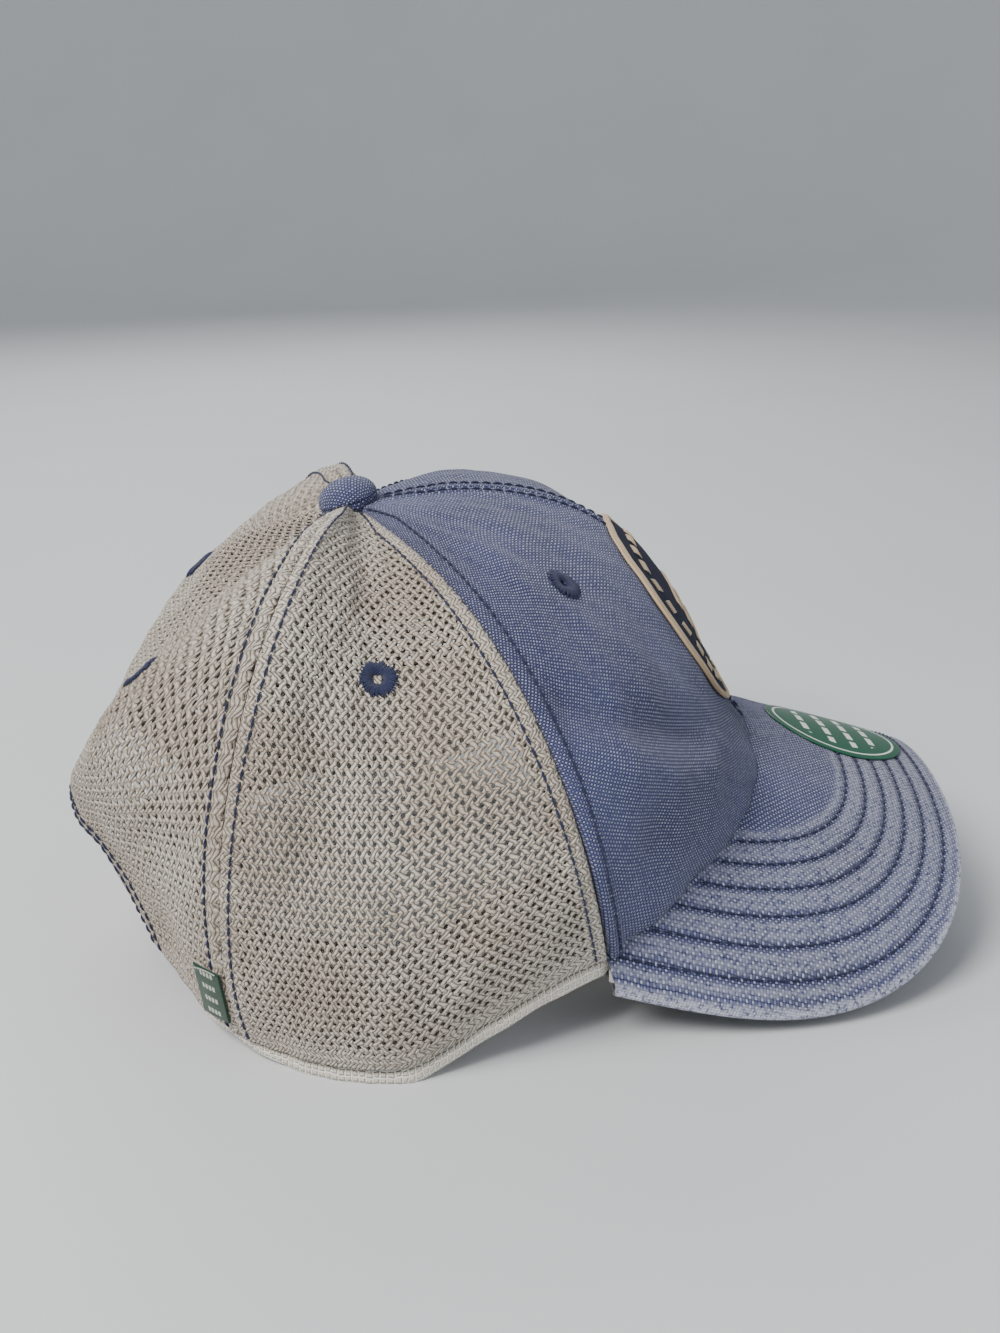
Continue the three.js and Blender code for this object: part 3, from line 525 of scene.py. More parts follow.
def net_finish():
    """Filament bundles drawn on a UV map that counts holes: shiny ribs that zigzag from
    row to row, painted shade in brown between them, and a broad change of tone."""
    paint = Paint("net_yarn", roughness=0.55, sheen=0.15, specular=0.5)
    place = paint.place("UV")
    x, y, _ = paint.parts(place)
    wobble = paint.math("MULTIPLY", paint.noise(place, 0.9, 2), 1.6)
    zigzag = paint.math("MULTIPLY", paint.math("PINGPONG", y, 1.0), 1.3)
    slant = paint.math("ADD", paint.math("ADD", paint.math("MULTIPLY", x, 2.0), zigzag), wobble)
    rib = paint.math("ABSOLUTE", paint.math("SINE", paint.math("MULTIPLY", slant, math.pi)))
    row = paint.math("ABSOLUTE", paint.math("SINE", paint.math("MULTIPLY", y, math.pi)))
    fibre = paint.noise(paint.scaled(place, (10, 3, 1), 0.6), 1.0, 3)
    broad = paint.noise(paint.place(), 32, 3)
    light = paint.mix(paint.step(broad, 0.3, 0.7), (0.46, 0.395, 0.32, 1), (0.66, 0.61, 0.53, 1))
    body = paint.math("MULTIPLY", paint.step(rib, 0.05, 0.75), paint.step(row, -0.5, 0.8))
    # Painted shade: where body falls off, between the ribs and between the rows of holes, the colour turns
    # dark brown to stand in for shadow and the dim layers behind the net.
    tone = paint.mix(body, (0.15, 0.115, 0.085, 1), light)
    fleck = paint.math("MULTIPLY", paint.step(fibre, 0.55, 0.70), paint.step(rib, 0.4, 0.9))
    paint.colour(paint.mix(paint.math("MULTIPLY", fleck, 0.8), tone, (0.93, 0.90, 0.84, 1)))
    height = paint.math("ADD", paint.math("MULTIPLY", rib, 0.8), paint.math("MULTIPLY", fibre, 0.5))
    paint.bump(height, 0.00040)
    return paint.material


net = net_finish()


def station_behind(half, v, halvings=26):
    """The station of the back panel that lies half from the middle plane at height v."""
    low, high = np.full_like(v, 4.0), np.full_like(v, 6.0)
    for _ in range(halvings):
        middle = (low + high) / 2
        wide = skin(middle, v)[..., 1] > half
        low, high = np.where(wide, middle, low), np.where(wide, high, middle)
    return low


def opening_station(v):
    """The station of the opening's edge at height v: a straight leg, then an arch."""
    rise = np.clip((v - OPENING_CORNER) / (OPENING_TOP - OPENING_CORNER), 0, 1)
    half = OPENING_HALF * np.sqrt(1 - rise ** 2)
    return np.where(v >= OPENING_TOP, 6.0, station_behind(half, v))


def net_panel(name, first, last, side):
    """Perforated sheet from brick-like cells. A cell is eight points on its outline and
    eight round its hole; outline points sit on a half-pitch lattice that cells share."""
    middle = (first + last) / 2
    v_table, walked = meridian_table(middle)
    total_rows = int(walked[np.searchsorted(v_table, 0.975)] / NET_ROW)
    half_columns = int(62 / NET_PITCH) + 1
    row, column = np.meshgrid(np.arange(total_rows), np.arange(-half_columns, half_columns + 1),
                              indexing="ij")
    corner_x = np.array([-1, 0, 1, 1, 1, 0, -1, -1])
    corner_y = np.array([-1, -1, -1, 0, 1, 1, 1, 0])
    lattice_x = 2 * column + (row % 2)
    lattice_y = 2 * row + 1

    def to_station(x, y):
        """Lattice numbers to station and height on this panel."""
        v = np.interp(y * NET_ROW / 2, walked, v_table)
        speed = ring_speed(np.full_like(v, middle), v)
        return middle + x * NET_PITCH / 2 / speed, v

    def limits(v):
        left = np.full_like(v, first + 0.002)
        right = opening_station(v) if last == 6 else np.full_like(v, last)
        return left, right - 0.002

    u, v = to_station(lattice_x.astype(float), lattice_y.astype(float))
    left, right = limits(v)
    reach = 0.5 * NET_PITCH / ring_speed(np.full_like(v, middle), v)
    keep = (u > left - reach * 0.6) & (u < right + reach * 0.6)
    x, y = lattice_x[keep], lattice_y[keep]
    outline = np.stack([x[:, None] + corner_x, y[:, None] + corner_y], -1)
    unique, inverse = np.unique(outline.reshape(-1, 2), axis=0, return_inverse=True)
    inverse = inverse.reshape(-1, 8)

    def lay(x, y, rise):
        """Points of the outer and inner face, pulled in to the panel's edge."""
        u, v = to_station(x.astype(float), y.astype(float))
        left, right = limits(v)
        u = np.clip(u, left, right)
        outer = crown(u, v, side, -relief(u, v, side) - rise)
        inner = crown(u, v, side, NET_THICKNESS - folds(u, v, side))
        return outer, inner

    edge_outer, edge_inner = lay(unique[:, 0], unique[:, 1], 0.12)
    u_cell, v_cell = to_station(x.astype(float), y.astype(float))
    nearest = 2 * np.round(u_cell / 2)
    away = np.abs(u_cell - nearest) * ring_speed(u_cell, v_cell)
    edge_gap = np.abs(limits(v_cell)[1] - u_cell) * ring_speed(u_cell, v_cell)
    doubled = np.maximum(1 - smooth(away, 4.2, 5.4), 1 - smooth(edge_gap, 4.0, 6.0))
    doubled = np.maximum(doubled, 1 - smooth(y * NET_ROW / 2, 3.5, 6))
    vary = 0.5 + 0.5 * np.sin(0.71 * x + 1.9 * np.sin(0.37 * y)) * np.sin(0.53 * y + 0.21 * x)
    size = (0.46 + 0.20 * vary) * (1 - 0.62 * doubled)
    angle = np.arctan2(corner_y, corner_x)
    hole_x = x[:, None] + size[:, None] * np.cos(angle) * 2 / NET_PITCH * HOLE_NARROW
    hole_y = y[:, None] + size[:, None] * np.sin(angle) * 2 / NET_ROW * HOLE_TALL
    hole_outer, hole_inner = lay(hole_x, hole_y, -0.10)

    shared, cells = len(unique), len(x)
    holes = shared + np.arange(cells * 8).reshape(-1, 8)
    total = shared + cells * 8
    following = (np.arange(8) + 1) % 8
    top = np.stack([inverse, inverse[:, following], holes[:, following], holes], -1)
    wall = np.stack([holes, holes[:, following], holes[:, following] + total, holes + total], -1)
    faces = np.vstack([top.reshape(-1, 4), top.reshape(-1, 4)[:, ::-1] + total, wall.reshape(-1, 4)])
    rim_from, rim_to = open_rim(top.reshape(-1, 4)[:, :2])
    faces = np.vstack([faces, np.stack([rim_to, rim_from, rim_from + total, rim_to + total], -1)])
    points = np.vstack([edge_outer, hole_outer.reshape(-1, 3), edge_inner, hole_inner.reshape(-1, 3)])
    counted = np.vstack([unique / 2.0, np.stack([hole_x, hole_y], -1).reshape(-1, 2) / 2.0])
    if side < 0:
        faces = faces[:, ::-1]
    piece = make_mesh(name, points, faces, np.vstack([counted, counted]))
    piece.data.materials.append(net)
    return piece


for label, side in SIDES:
    for part, first, last in (("side", 2, 4), ("back", 4, 6)):
        panel = net_panel(f"{part}_net_{label}", first, last, side)
        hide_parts(f"{part}_panel_{label}")
        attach(panel, "crown")

# ---- Top stitching -------------------------------------------------------------
# Navy thread in two rows beside every seam. Each stitch is a short swollen length
# of twisted thread that dives into the cloth at both ends.

NAVY = (0.010, 0.013, 0.045, 1)


def thread_finish(name, colour, pale):
    """Twisted thread: fine slanted plies with a soft shine."""
    paint = Paint(name, roughness=0.6, sheen=0.1, specular=0.3)
    x, y, _ = paint.parts(paint.place("UV"))
    ply = paint.math("ABSOLUTE", paint.math("SINE", paint.math(
        "MULTIPLY", paint.math("ADD", paint.math("MULTIPLY", x, 3.0), y), math.pi * 2)))
    paint.colour(paint.mix(paint.step(ply, 0.2, 0.9), colour, pale))
    paint.bump(ply, 0.00008)
    return paint.material


navy_thread = thread_finish("navy_thread", NAVY, (0.035, 0.043, 0.11, 1))

THREAD_SIDES = 6
THREAD_RINGS = 5


def threads(name, starts, ends, out, radius, material, bow=0.35):
    """Many short threads in one mesh. Each runs straight from start to end, bowed out in
    the middle by bow, with a round section that narrows to both ends."""
    count = len(starts)
    along = np.linspace(0, 1, THREAD_RINGS)
    swell = np.array([0.35, 0.9, 1.0, 0.9, 0.35])
    angle = np.arange(THREAD_SIDES) * 2 * np.pi / THREAD_SIDES
    run = ends - starts
    across = unit(np.cross(run, out))
    proud = unit(np.cross(across, run))
    centre = starts[:, None] + run[:, None] * along[None, :, None]
    centre = centre + proud[:, None] * (bow * 4 * along * (1 - along))[None, :, None]
    round_part = (across[:, None, None] * np.cos(angle)[None, None, :, None]
                  + proud[:, None, None] * np.sin(angle)[None, None, :, None])
    radii = np.broadcast_to(np.asarray(radius, float).reshape(-1, 1), (count, 1))
    points = centre[:, :, None] + round_part * (radii * swell[None])[:, :, None, None]
    block = THREAD_RINGS * THREAD_SIDES
    sides = quads(THREAD_RINGS, THREAD_SIDES, wrap=True)
    offsets = (np.arange(count) * block)[:, None, None]
    faces = (sides[None] + offsets).reshape(-1, 4).tolist()
    caps = np.stack([np.arange(THREAD_SIDES)[::-1], block - THREAD_SIDES + np.arange(THREAD_SIDES)])
    faces += (caps[None] + offsets).reshape(-1, THREAD_SIDES).tolist()
    turn = np.broadcast_to((angle / (2 * np.pi))[None, None, :], (count, THREAD_RINGS, THREAD_SIDES))
    length = np.broadcast_to((along * 4)[None, :, None], turn.shape)
    piece = make_mixed(name, points.reshape(-1, 3), faces, np.stack([length, turn], -1).reshape(-1, 2))
    piece.data.materials.append(material)
    return piece


def stitch_ends(path, out, length, gap):
    """Starts and ends of equal stitches along a path, and the way out of the cloth there."""
    steps = np.linalg.norm(np.diff(path, axis=0), axis=1)
    walked = np.concatenate([[0], np.cumsum(steps)])
    count = int(walked[-1] / (length + gap))
    begin = (np.arange(count) + 0.5) * (walked[-1] / count) - length / 2

    def at(distance, values):
        return np.stack([np.interp(distance, walked, values[:, k]) for k in range(3)], -1)

    return at(begin, path), at(begin + length, path), unit(at(begin + length / 2, out))


def seam_rows(u_seam, side, low, high):
    """The two stitch paths beside a seam, a thread's radius above the cloth."""
    v = np.linspace(low, high, 160)
    rows = []
    for way in (-1, 1):
        speed = ring_speed(np.clip(np.full_like(v, u_seam) + 0.03 * way, 0, 6), v)
        shrink = np.minimum(1, (1 - v) / 0.10)
        u = u_seam + way * SEAM_ROW * shrink / speed
        if u_seam in (0, 6) and way * (1 if u_seam == 0 else -1) < 0:
            continue
        raised = relief(u, v, side) + 0.26
        out = directions(u, v)[2] * np.array([1, side, 1])
        rows.append((crown(u, v, side, -raised), out))
    return rows


seam_stitches = []
for label, side in SIDES:
    for u_seam, low in ((0, 0.01), (2, 0.004), (4, 0.004), (6, OPENING_TOP + 0.02)):
        for path, out in seam_rows(u_seam, side, low, 0.965):
            seam_stitches.append(stitch_ends(path, out, 2.5, 0.35))
starts, ends, out = (np.vstack(part) for part in zip(*seam_stitches))
topstitch = threads("seam_topstitching", starts, ends, out, 0.33, navy_thread, bow=0.24)
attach(topstitch, "crown")

# ---- Eyelets -------------------------------------------------------------------
# Vent holes sewn round with navy thread: radial stitches laid side by side, longer
# and shorter by turns, so that the outer edge is ragged.

EYELETS = (("front", 0.92, 0.60), ("side", 3.0, 0.59), ("back", 4.9, 0.70))
rng = np.random.default_rng(7)

for label, side in SIDES:
    for part, u0, v0 in EYELETS:
        count = 62
        turn = np.arange(count) * 2 * np.pi / count + rng.normal(0, 0.02, count)
        reach = rng.uniform(4.1, 5.1, count)
        speed = ring_speed(np.array(u0), np.array(v0))
        rise = np.linalg.norm(skin(u0, v0 + 0.01) - skin(u0, v0 - 0.01)) / 0.02

        def around_hole(radius, height):
            u = u0 + radius * np.cos(turn) / speed
            v = v0 + radius * np.sin(turn) / rise
            return crown(u, v, side, -(relief(u, v, side) + height)), \
                directions(u, v)[2] * np.array([1, side, 1])

        inner_end, way = around_hole(np.full(count, 1.2), 0.1)
        outer_end, _ = around_hole(reach, 0.15)
        ring_piece = threads(f"eyelet_stitches_{part}_{label}", inner_end, outer_end, way,
                             0.27, navy_thread, bow=0.6)
        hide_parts(f"eyelet_{part}_{label}")
        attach(ring_piece, "crown")

# ---- Seam tapes ----------------------------------------------------------------
# Cotton twill tape, 11 mm wide, sewn flat over every seam inside the crown. The
# stitch rows that show outside hold its two edges.


def tape_finish():
    """Herringbone of cream cotton on a UV map in millimetres."""
    paint = Paint("tape_twill", roughness=0.9, sheen=0.2)
    x, y, _ = paint.parts(paint.place("UV"))
    slant = paint.math("ADD", paint.math("ABSOLUTE", x), y)
    ridge = paint.math("ABSOLUTE", paint.math("SINE", paint.math("MULTIPLY", slant, math.pi / 0.9)))
    paint.colour(paint.mix(ridge, (0.55, 0.52, 0.45, 1), (0.80, 0.77, 0.70, 1)))
    paint.bump(ridge, 0.00012)
    return paint.material


tape_cloth = tape_finish()
TAPE_DEPTH, HALF_TAPE = 1.5, 5.5
ARCH_TAPE_START = float(climb(6, 47 + 8 + 0.6))

for name, u_seam, start, half_crown in (
        ("seam_tape_front", 0, 0.01, 1), ("seam_tape_back", 6, ARCH_TAPE_START, 1),
        ("seam_tape_front_side_right", 2, 0.01, -1), ("seam_tape_front_side_left", 2, 0.01, 1),
        ("seam_tape_back_side_right", 4, 0.01, -1), ("seam_tape_back_side_left", 4, 0.01, 1)):
    v, share = np.meshgrid(np.linspace(start, 0.88, 90), np.linspace(-1, 1, 13), indexing="ij")
    step = share * HALF_TAPE / ring_speed(np.clip(np.full_like(v, u_seam) + 0.02, 0, 6), v)
    u = u_seam + step
    side = np.full(u.shape, float(half_crown))
    if u_seam in (0, 6):
        u = u_seam + (1 if u_seam == 0 else -1) * np.abs(step)
        side = np.where(share < 0, -1.0, 1.0)
    sides = np.stack([np.ones_like(side), side, np.ones_like(side)], -1)

    def lay_tape(depth):
        flat = crown(u, v, 1, depth - folds(u, v, np.where(side < 0, -1, 1)))
        return flat * sides

    tape = shell(name + "_cloth", lay_tape(TAPE_DEPTH), lay_tape(TAPE_DEPTH + 0.5),
                 np.stack([share * HALF_TAPE, v * 150], -1), tape_cloth,
                 flip=(u_seam == 6) != (half_crown < 0))
    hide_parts(name)
    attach(tape, "crown")

# ---- Hem of the rear opening ---------------------------------------------------
# The net round the arch is turned in over an 8 mm facing of the same net, and held
# by two rows of navy thread.


def opening_edge(angle, grow):
    """Station and height of the opening's outline, grown outwards: 0 and below is the
    straight leg, a quarter turn the top of the arch."""
    half = OPENING_HALF + grow
    top = climb(6, 47 + grow)
    v = np.where(angle <= 0, OPENING_CORNER * (1 + np.minimum(angle, 0)),
                 OPENING_CORNER + (top - OPENING_CORNER) * np.sin(np.maximum(angle, 0)))
    wide = np.where(angle <= 0, half, half * np.cos(np.maximum(angle, 0)))
    return np.where(wide < 0.01, 6.0, station_behind(wide, v)), v


def both_halves(angle, build):
    """Runs build over the left half's angles and back over the right half's."""
    return np.concatenate([build(angle, 1), build(angle[-2::-1], -1)])


angles = np.concatenate([np.linspace(-0.99, 0, 24)[:-1], np.linspace(0, np.pi / 2, 50)])
grown = np.linspace(0.3, 8, 9)


def facing_rows(depth):
    def build(angle, side):
        rows = []
        for grow in grown:
            u, v = opening_edge(angle, grow)
            rows.append(crown(u, np.maximum(v, 0.004), side, depth - folds(u, v, side)))
        return np.stack(rows, 1)
    return both_halves(angles, build)


outer, inner = facing_rows(TAPE_DEPTH), facing_rows(TAPE_DEPTH + 0.5)
walked = np.concatenate([[0], np.cumsum(np.linalg.norm(np.diff(outer[:, 0], axis=0), axis=1))])
count_map = np.stack(np.broadcast_arrays(walked[:, None] / NET_PITCH, grown[None] / NET_ROW), -1)
facing = shell("opening_facing_net", outer, inner, count_map, net, flip=True)
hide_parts("opening_facing")
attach(facing, "crown")

hem_stitches = []
for grow in (2.0, 6.2):
    def hem_row(angle, side):
        u, v = opening_edge(angle, grow)
        return crown(u, np.maximum(v, 0.004), side, -relief(u, v, side) - 0.26)

    def hem_out(angle, side):
        u, v = opening_edge(angle, grow)
        return directions(u, v)[2] * np.array([1, side, 1])

    hem_stitches.append(stitch_ends(both_halves(angles, hem_row), both_halves(angles, hem_out), 2.6, 0.4))
starts, ends, out = (np.vstack(part) for part in zip(*hem_stitches))
hem_thread = threads("opening_stitching", starts, ends, out, 0.32, navy_thread, bow=0.2)
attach(hem_thread, "crown")

# ---- Sweatband -----------------------------------------------------------------
# A folded band of cream waffle knit inside the hem. Its fold hangs below the hem,
# where it shows from outside; the cap rests on it.


def waffle_finish():
    """Honeycomb knit on a UV map in millimetres: round pits between raised cords."""
    paint = Paint("sweatband_knit", roughness=0.95, sheen=0.4)
    cell = paint.node("ShaderNodeTexVoronoi", feature="DISTANCE_TO_EDGE")
    cell.inputs["Scale"].default_value = 0.62
    cell.inputs["Randomness"].default_value = 0.30
    paint.join(paint.place("UV"), cell.inputs["Vector"])
    cord = paint.step(cell.outputs["Distance"], 0.30, 0.04)
    fluff = paint.noise(paint.scaled(paint.place("UV"), (4, 4, 1)), 1.0, 4)
    tone = paint.mix(cord, (0.60, 0.54, 0.42, 1), (0.86, 0.82, 0.72, 1))
    paint.colour(paint.mix(paint.math("MULTIPLY", fluff, 0.5), tone, (0.93, 0.90, 0.82, 1)))
    height = paint.math("ADD", cord, paint.math("MULTIPLY", fluff, 0.25))
    paint.bump(height, 0.00055)
    return paint.material


SWEAT_DEPTH, SWEAT_THICK, SWEAT_HEIGHT, SWEAT_SHOW = 2.5, 2.0, 30.0, 5.5
LEG_V = np.array(OPENING_CORNER / 2)


STRAP_END = float(station_behind(OPENING_HALF + 9 + 2, LEG_V, halvings=30))
half_round = np.concatenate([np.linspace(0, 4, 190), np.linspace(4, STRAP_END, 26)[1:]])
around = np.concatenate([half_round[:0:-1], half_round])
around_side = np.concatenate([-np.ones(len(half_round) - 1), np.ones(len(half_round))])
climbed = np.array([climb(u, SWEAT_HEIGHT) for u in half_round])
top_v = np.concatenate([climbed[:0:-1], climbed])


def sweatband_point(level, through):
    """Level runs from 0 at the fold to 1 at the top; through from 0 outside to 1 inside."""
    u = around
    rise = np.clip((level - 0.15) / 0.85, 0, 1)
    v = top_v * rise
    puff = 0.16 * np.sin(np.pi * rise) * np.sin(u * 9.0 + 5 * rise)
    belly = 2.0 * smooth(0.15 - level, 0.0, 0.06)
    depth = SWEAT_DEPTH + SWEAT_THICK * through + puff - belly
    place = crown(u, v, 1, depth - folds(u, v, around_side))
    show = SWEAT_SHOW * np.clip((5 - u) / 1.6, 0.1, 1)
    drop = 1 - np.clip(level / 0.15, 0, 1)
    wave = 0.5 + 0.5 * np.sin(13 * u + 1.1 * around_side) * np.sin(5 * u)
    lowest = np.maximum(place[:, 2] - (show - 0.5 * wave) * drop, -5.0)
    place[:, 2] = np.where(level < 0.15, lowest, place[:, 2])
    return place * np.stack([np.ones_like(u), around_side, np.ones_like(u)], -1)


levels = np.concatenate([np.linspace(0.03, 0.15, 6), np.linspace(0.19, 1, 22)])
section = [(level, 0.0) for level in levels[::-1]]
section += [(0.012, 0.10), (0.002, 0.28), (0.0, 0.5), (0.002, 0.72), (0.012, 0.90)]
section += [(level, 1.0) for level in levels]
rows = np.stack([sweatband_point(level, through) for level, through in section])
across = np.concatenate([[0], np.cumsum(np.linalg.norm(np.diff(rows[:, 100], axis=0), axis=1))])
along = np.concatenate([[0], np.cumsum(np.linalg.norm(np.diff(rows[30], axis=0), axis=1))])
count, width = rows.shape[:2]
faces = quads(count, width).tolist()
top_outer, top_inner = np.arange(width), (count - 1) * width + np.arange(width)
faces += np.stack([top_outer[1:], top_outer[:-1], top_inner[:-1], top_inner[1:]], -1).tolist()
middle_row = count // 2
for column in (0, width - 1):
    ring_ids = np.arange(count) * width + column
    pairs = [[ring_ids[k], ring_ids[k + 1], ring_ids[count - 2 - k], ring_ids[count - 1 - k]]
             for k in range(middle_row)]
    faces += [pair if column == 0 else pair[::-1] for pair in pairs]
knit_map = np.stack(np.broadcast_arrays(along[None], across[:, None]), -1).reshape(-1, 2)
band = make_mixed("sweatband_band", rows.reshape(-1, 3), faces, knit_map)
band.data.materials.append(waffle_finish())
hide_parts("sweatband")
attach(band, "crown")

# ---- Visor ---------------------------------------------------------------------
# A curved plastic board between blue canvas above and charcoal twill below. Both
# cloths turn over the rim and meet on its middle line. Six rows of navy stitches
# quilt them; the rim is rubbed pale and frays.

RIM_CENTRE, RIM_LENGTH, SQUARENESS = 40.0, 107.0, 3.6
CLOTH, VISOR_THICK = 0.7, 3.6
VISOR_ROWS = 4.7 * np.arange(1, 7)


def visor_rim(share, inset=0.0):
    """Outline in plan, a squarish ellipse; share runs from the right end, -1, to the left."""
    length, half = RIM_LENGTH - inset, VISOR_HALF - inset
    turn = share * np.arctan2(half, 49 + 1.5 - RIM_CENTRE)
    reach = ((np.abs(np.cos(turn)) / length) ** SQUARENESS
             + (np.abs(np.sin(turn)) / half) ** SQUARENESS) ** (-1 / SQUARENESS)
    return np.stack([RIM_CENTRE + reach * np.cos(turn), reach * np.sin(turn)], -1)


def visor_point(share, out, depth, inset=0.0):
    """Depth below the upper face: plumb at the root, under the crown, and square at the rim."""
    share, out, depth, inset = np.broadcast_arrays(share, out, depth, inset)
    mirror = np.stack([np.ones_like(share), np.where(share < 0, -1, 1)], -1)
    root = hem(2 * np.abs(share), 1.0)[..., :2] * mirror
    plan = root + (visor_rim(share, inset) - root) * out[..., None]
    x, y = plan[..., 0], plan[..., 1]
    steep = y / np.sqrt(VISOR_RADIUS ** 2 - y ** 2)
    normal = unit(np.stack([np.full_like(x, VISOR_SLOPE), steep, np.ones_like(x)], -1))
    plumb = np.stack([np.zeros_like(x), np.zeros_like(x), 1 / normal[..., 2]], -1)
    down = plumb + (normal - plumb) * out[..., None]
    return np.stack([x, y, visor_top(x, y)], -1) - down * depth[..., None]


def rim_distance(x, y):
    """Distance in from the outline to a place in plan, found by halving."""
    low, high = np.zeros_like(x), np.full_like(x, 75.0)
    for _ in range(24):
        middle = (low + high) / 2
        outside = (np.abs(x - RIM_CENTRE) / (RIM_LENGTH - middle)) ** SQUARENESS \
            + (np.abs(y) / (VISOR_HALF - middle)) ** SQUARENESS > 1
        low, high = np.where(outside, low, middle), np.where(outside, middle, high)
    return low


def quilt(x, y):
    """Height of the cloth: full between the stitch rows and pulled in on them."""
    away = rim_distance(x, y)
    nearest = np.abs(away[..., None] - VISOR_ROWS).min(-1)
    soft = 0.05 * np.sin(0.5 * x + 0.31 * y) + 0.04 * np.sin(0.83 * y - 0.4 * x)
    return -0.42 * np.exp(-(nearest / 0.75) ** 2) + soft


def visor_cloth(name, face_depth, lining_depth, lip, way, material):
    """Cloth over one face, round the rim and down to the lip. Way is 1 for the upper cloth."""
    share = np.linspace(-1, 1, 301)
    steps = np.linspace(0, 0.99, 76)
    bend = np.linspace(0, np.pi / 2, 9)
    turn_radius = 1.15
    sections = [(out, face_depth, turn_radius, 1.0) for out in steps]
    sections += [(1.0, face_depth + way * turn_radius * (1 - math.cos(a)),
                  turn_radius * (1 - math.sin(a)), 0.0) for a in bend]
    sections += [(1.0, lip, 0.0, 0.0)]
    face = []
    for out, depth, inset, lifted in sections:
        base = visor_point(share, out, depth, inset)
        lift = quilt(base[:, 0], base[:, 1]) * lifted * smooth(out, 0, 0.08)
        face.append(visor_point(share, out, depth - way * lift, inset))
    lining = [visor_point(share, out, lip if depth == lip else lining_depth, max(inset, CLOTH))
              for out, depth, inset, lifted in sections]
    face, lining = np.stack(face), np.stack(lining)
    across = np.concatenate([np.zeros((1, len(share))),
                             np.cumsum(np.linalg.norm(np.diff(face, axis=0), axis=2), axis=0)])
    plan = face[..., :2].copy()
    tail = across - across[len(steps) - 1]
    direction = unit(plan[-2] - plan[0])
    plan = np.where((tail > 0)[..., None], plan[len(steps) - 1] + direction * tail[..., None], plan)
    piece = shell(name, face, lining, plan, material, flip=way > 0)
    away = rim_distance(face[..., 0], face[..., 1])
    worn = np.clip(1 - away / 1.8, 0, 1) ** 0.8
    nearest = np.abs(away[..., None] - VISOR_ROWS).min(-1)
    worn = np.maximum(worn, 0.30 * np.exp(-((nearest - 1.6) / 0.8) ** 2))
    values = piece.data.attributes.new("worn", "FLOAT", "POINT")
    values.data.foreach_set("value", np.concatenate([worn.ravel()] * 2).astype(np.float32))
    return piece


def twill_finish(name, dark, light, pitch=0.8, sheen=0.3):
    """Fine diagonal ribs on a UV map in millimetres, with a heathered tone."""
    paint = Paint(name, roughness=0.95, sheen=sheen, specular=0.2)
    x, y, _ = paint.parts(paint.place("UV"))
    slant = paint.math("MULTIPLY", paint.math("ADD", x, y), math.pi / pitch)
    rib = paint.math("ABSOLUTE", paint.math("SINE", slant))
    heather = paint.noise(paint.scaled(paint.place("UV"), (1.5, 1.5, 1)), 1.0, 4)
    share = paint.math("ADD", paint.math("MULTIPLY", rib, 0.6), paint.math("MULTIPLY", heather, 0.4))
    paint.colour(paint.mix(share, dark, light))
    paint.bump(rib, 0.00010)
    return paint.material


upper = visor_cloth("visor_canvas", 0.0, CLOTH, VISOR_THICK / 2 - 0.15, 1,
                    canvas_finish("canvas_visor", worn=True))
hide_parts("visor_top_cloth")
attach(upper, "crown")

under = visor_cloth("visor_twill", VISOR_THICK, VISOR_THICK - CLOTH, VISOR_THICK / 2 + 0.15, -1,
                    twill_finish("charcoal_twill", (0.035, 0.036, 0.040, 1), (0.10, 0.102, 0.11, 1)))
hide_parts("visor_under_cloth")
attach(under, "crown")


def root_x(y):
    """Where the crown's hem stands on the visor, by distance from the middle."""
    stations = hem(np.linspace(0, 2, 80))
    return np.interp(np.abs(y), stations[:, 1], stations[:, 0])


visor_stitches = []
for inset in VISOR_ROWS:
    plan = visor_rim(np.linspace(-1.08, 1.08, 900), inset)
    plan = plan[plan[:, 0] > root_x(plan[:, 1]) + 1.0]
    x, y = plan[:, 0], plan[:, 1]
    steep = y / np.sqrt(VISOR_RADIUS ** 2 - y ** 2)
    normal = unit(np.stack([np.full_like(x, VISOR_SLOPE), steep, np.ones_like(x)], -1))
    path = np.stack([x, y, visor_top(x, y)], -1)
    visor_stitches.append(stitch_ends(path - normal * 0.08, normal, 2.5, 0.5))
    visor_stitches.append(stitch_ends(path - normal * (VISOR_THICK - 0.08), -normal, 2.5, 0.5))
starts, ends, out = (np.vstack(part) for part in zip(*visor_stitches))
visor_thread = threads("visor_stitching", starts, ends, out, 0.30, navy_thread, bow=0.2)
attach(visor_thread, "crown")


def board_finish():
    """Moulded white board inside the visor, faintly mottled."""
    paint = Paint("board_plastic", roughness=0.55)
    paint.colour(paint.mix(paint.noise(paint.place(), 60), (0.62, 0.62, 0.60, 1), (0.72, 0.72, 0.70, 1)))
    return paint.material


def finish_cad(node, material):
    """Gives a frame node that stays as it is its real finish."""
    holder = frame["nodes"][node]
    for piece in [holder] + list(holder.children_recursive):
        for place in piece.material_slots:
            place.material = material


finish_cad("visor_board", board_finish())
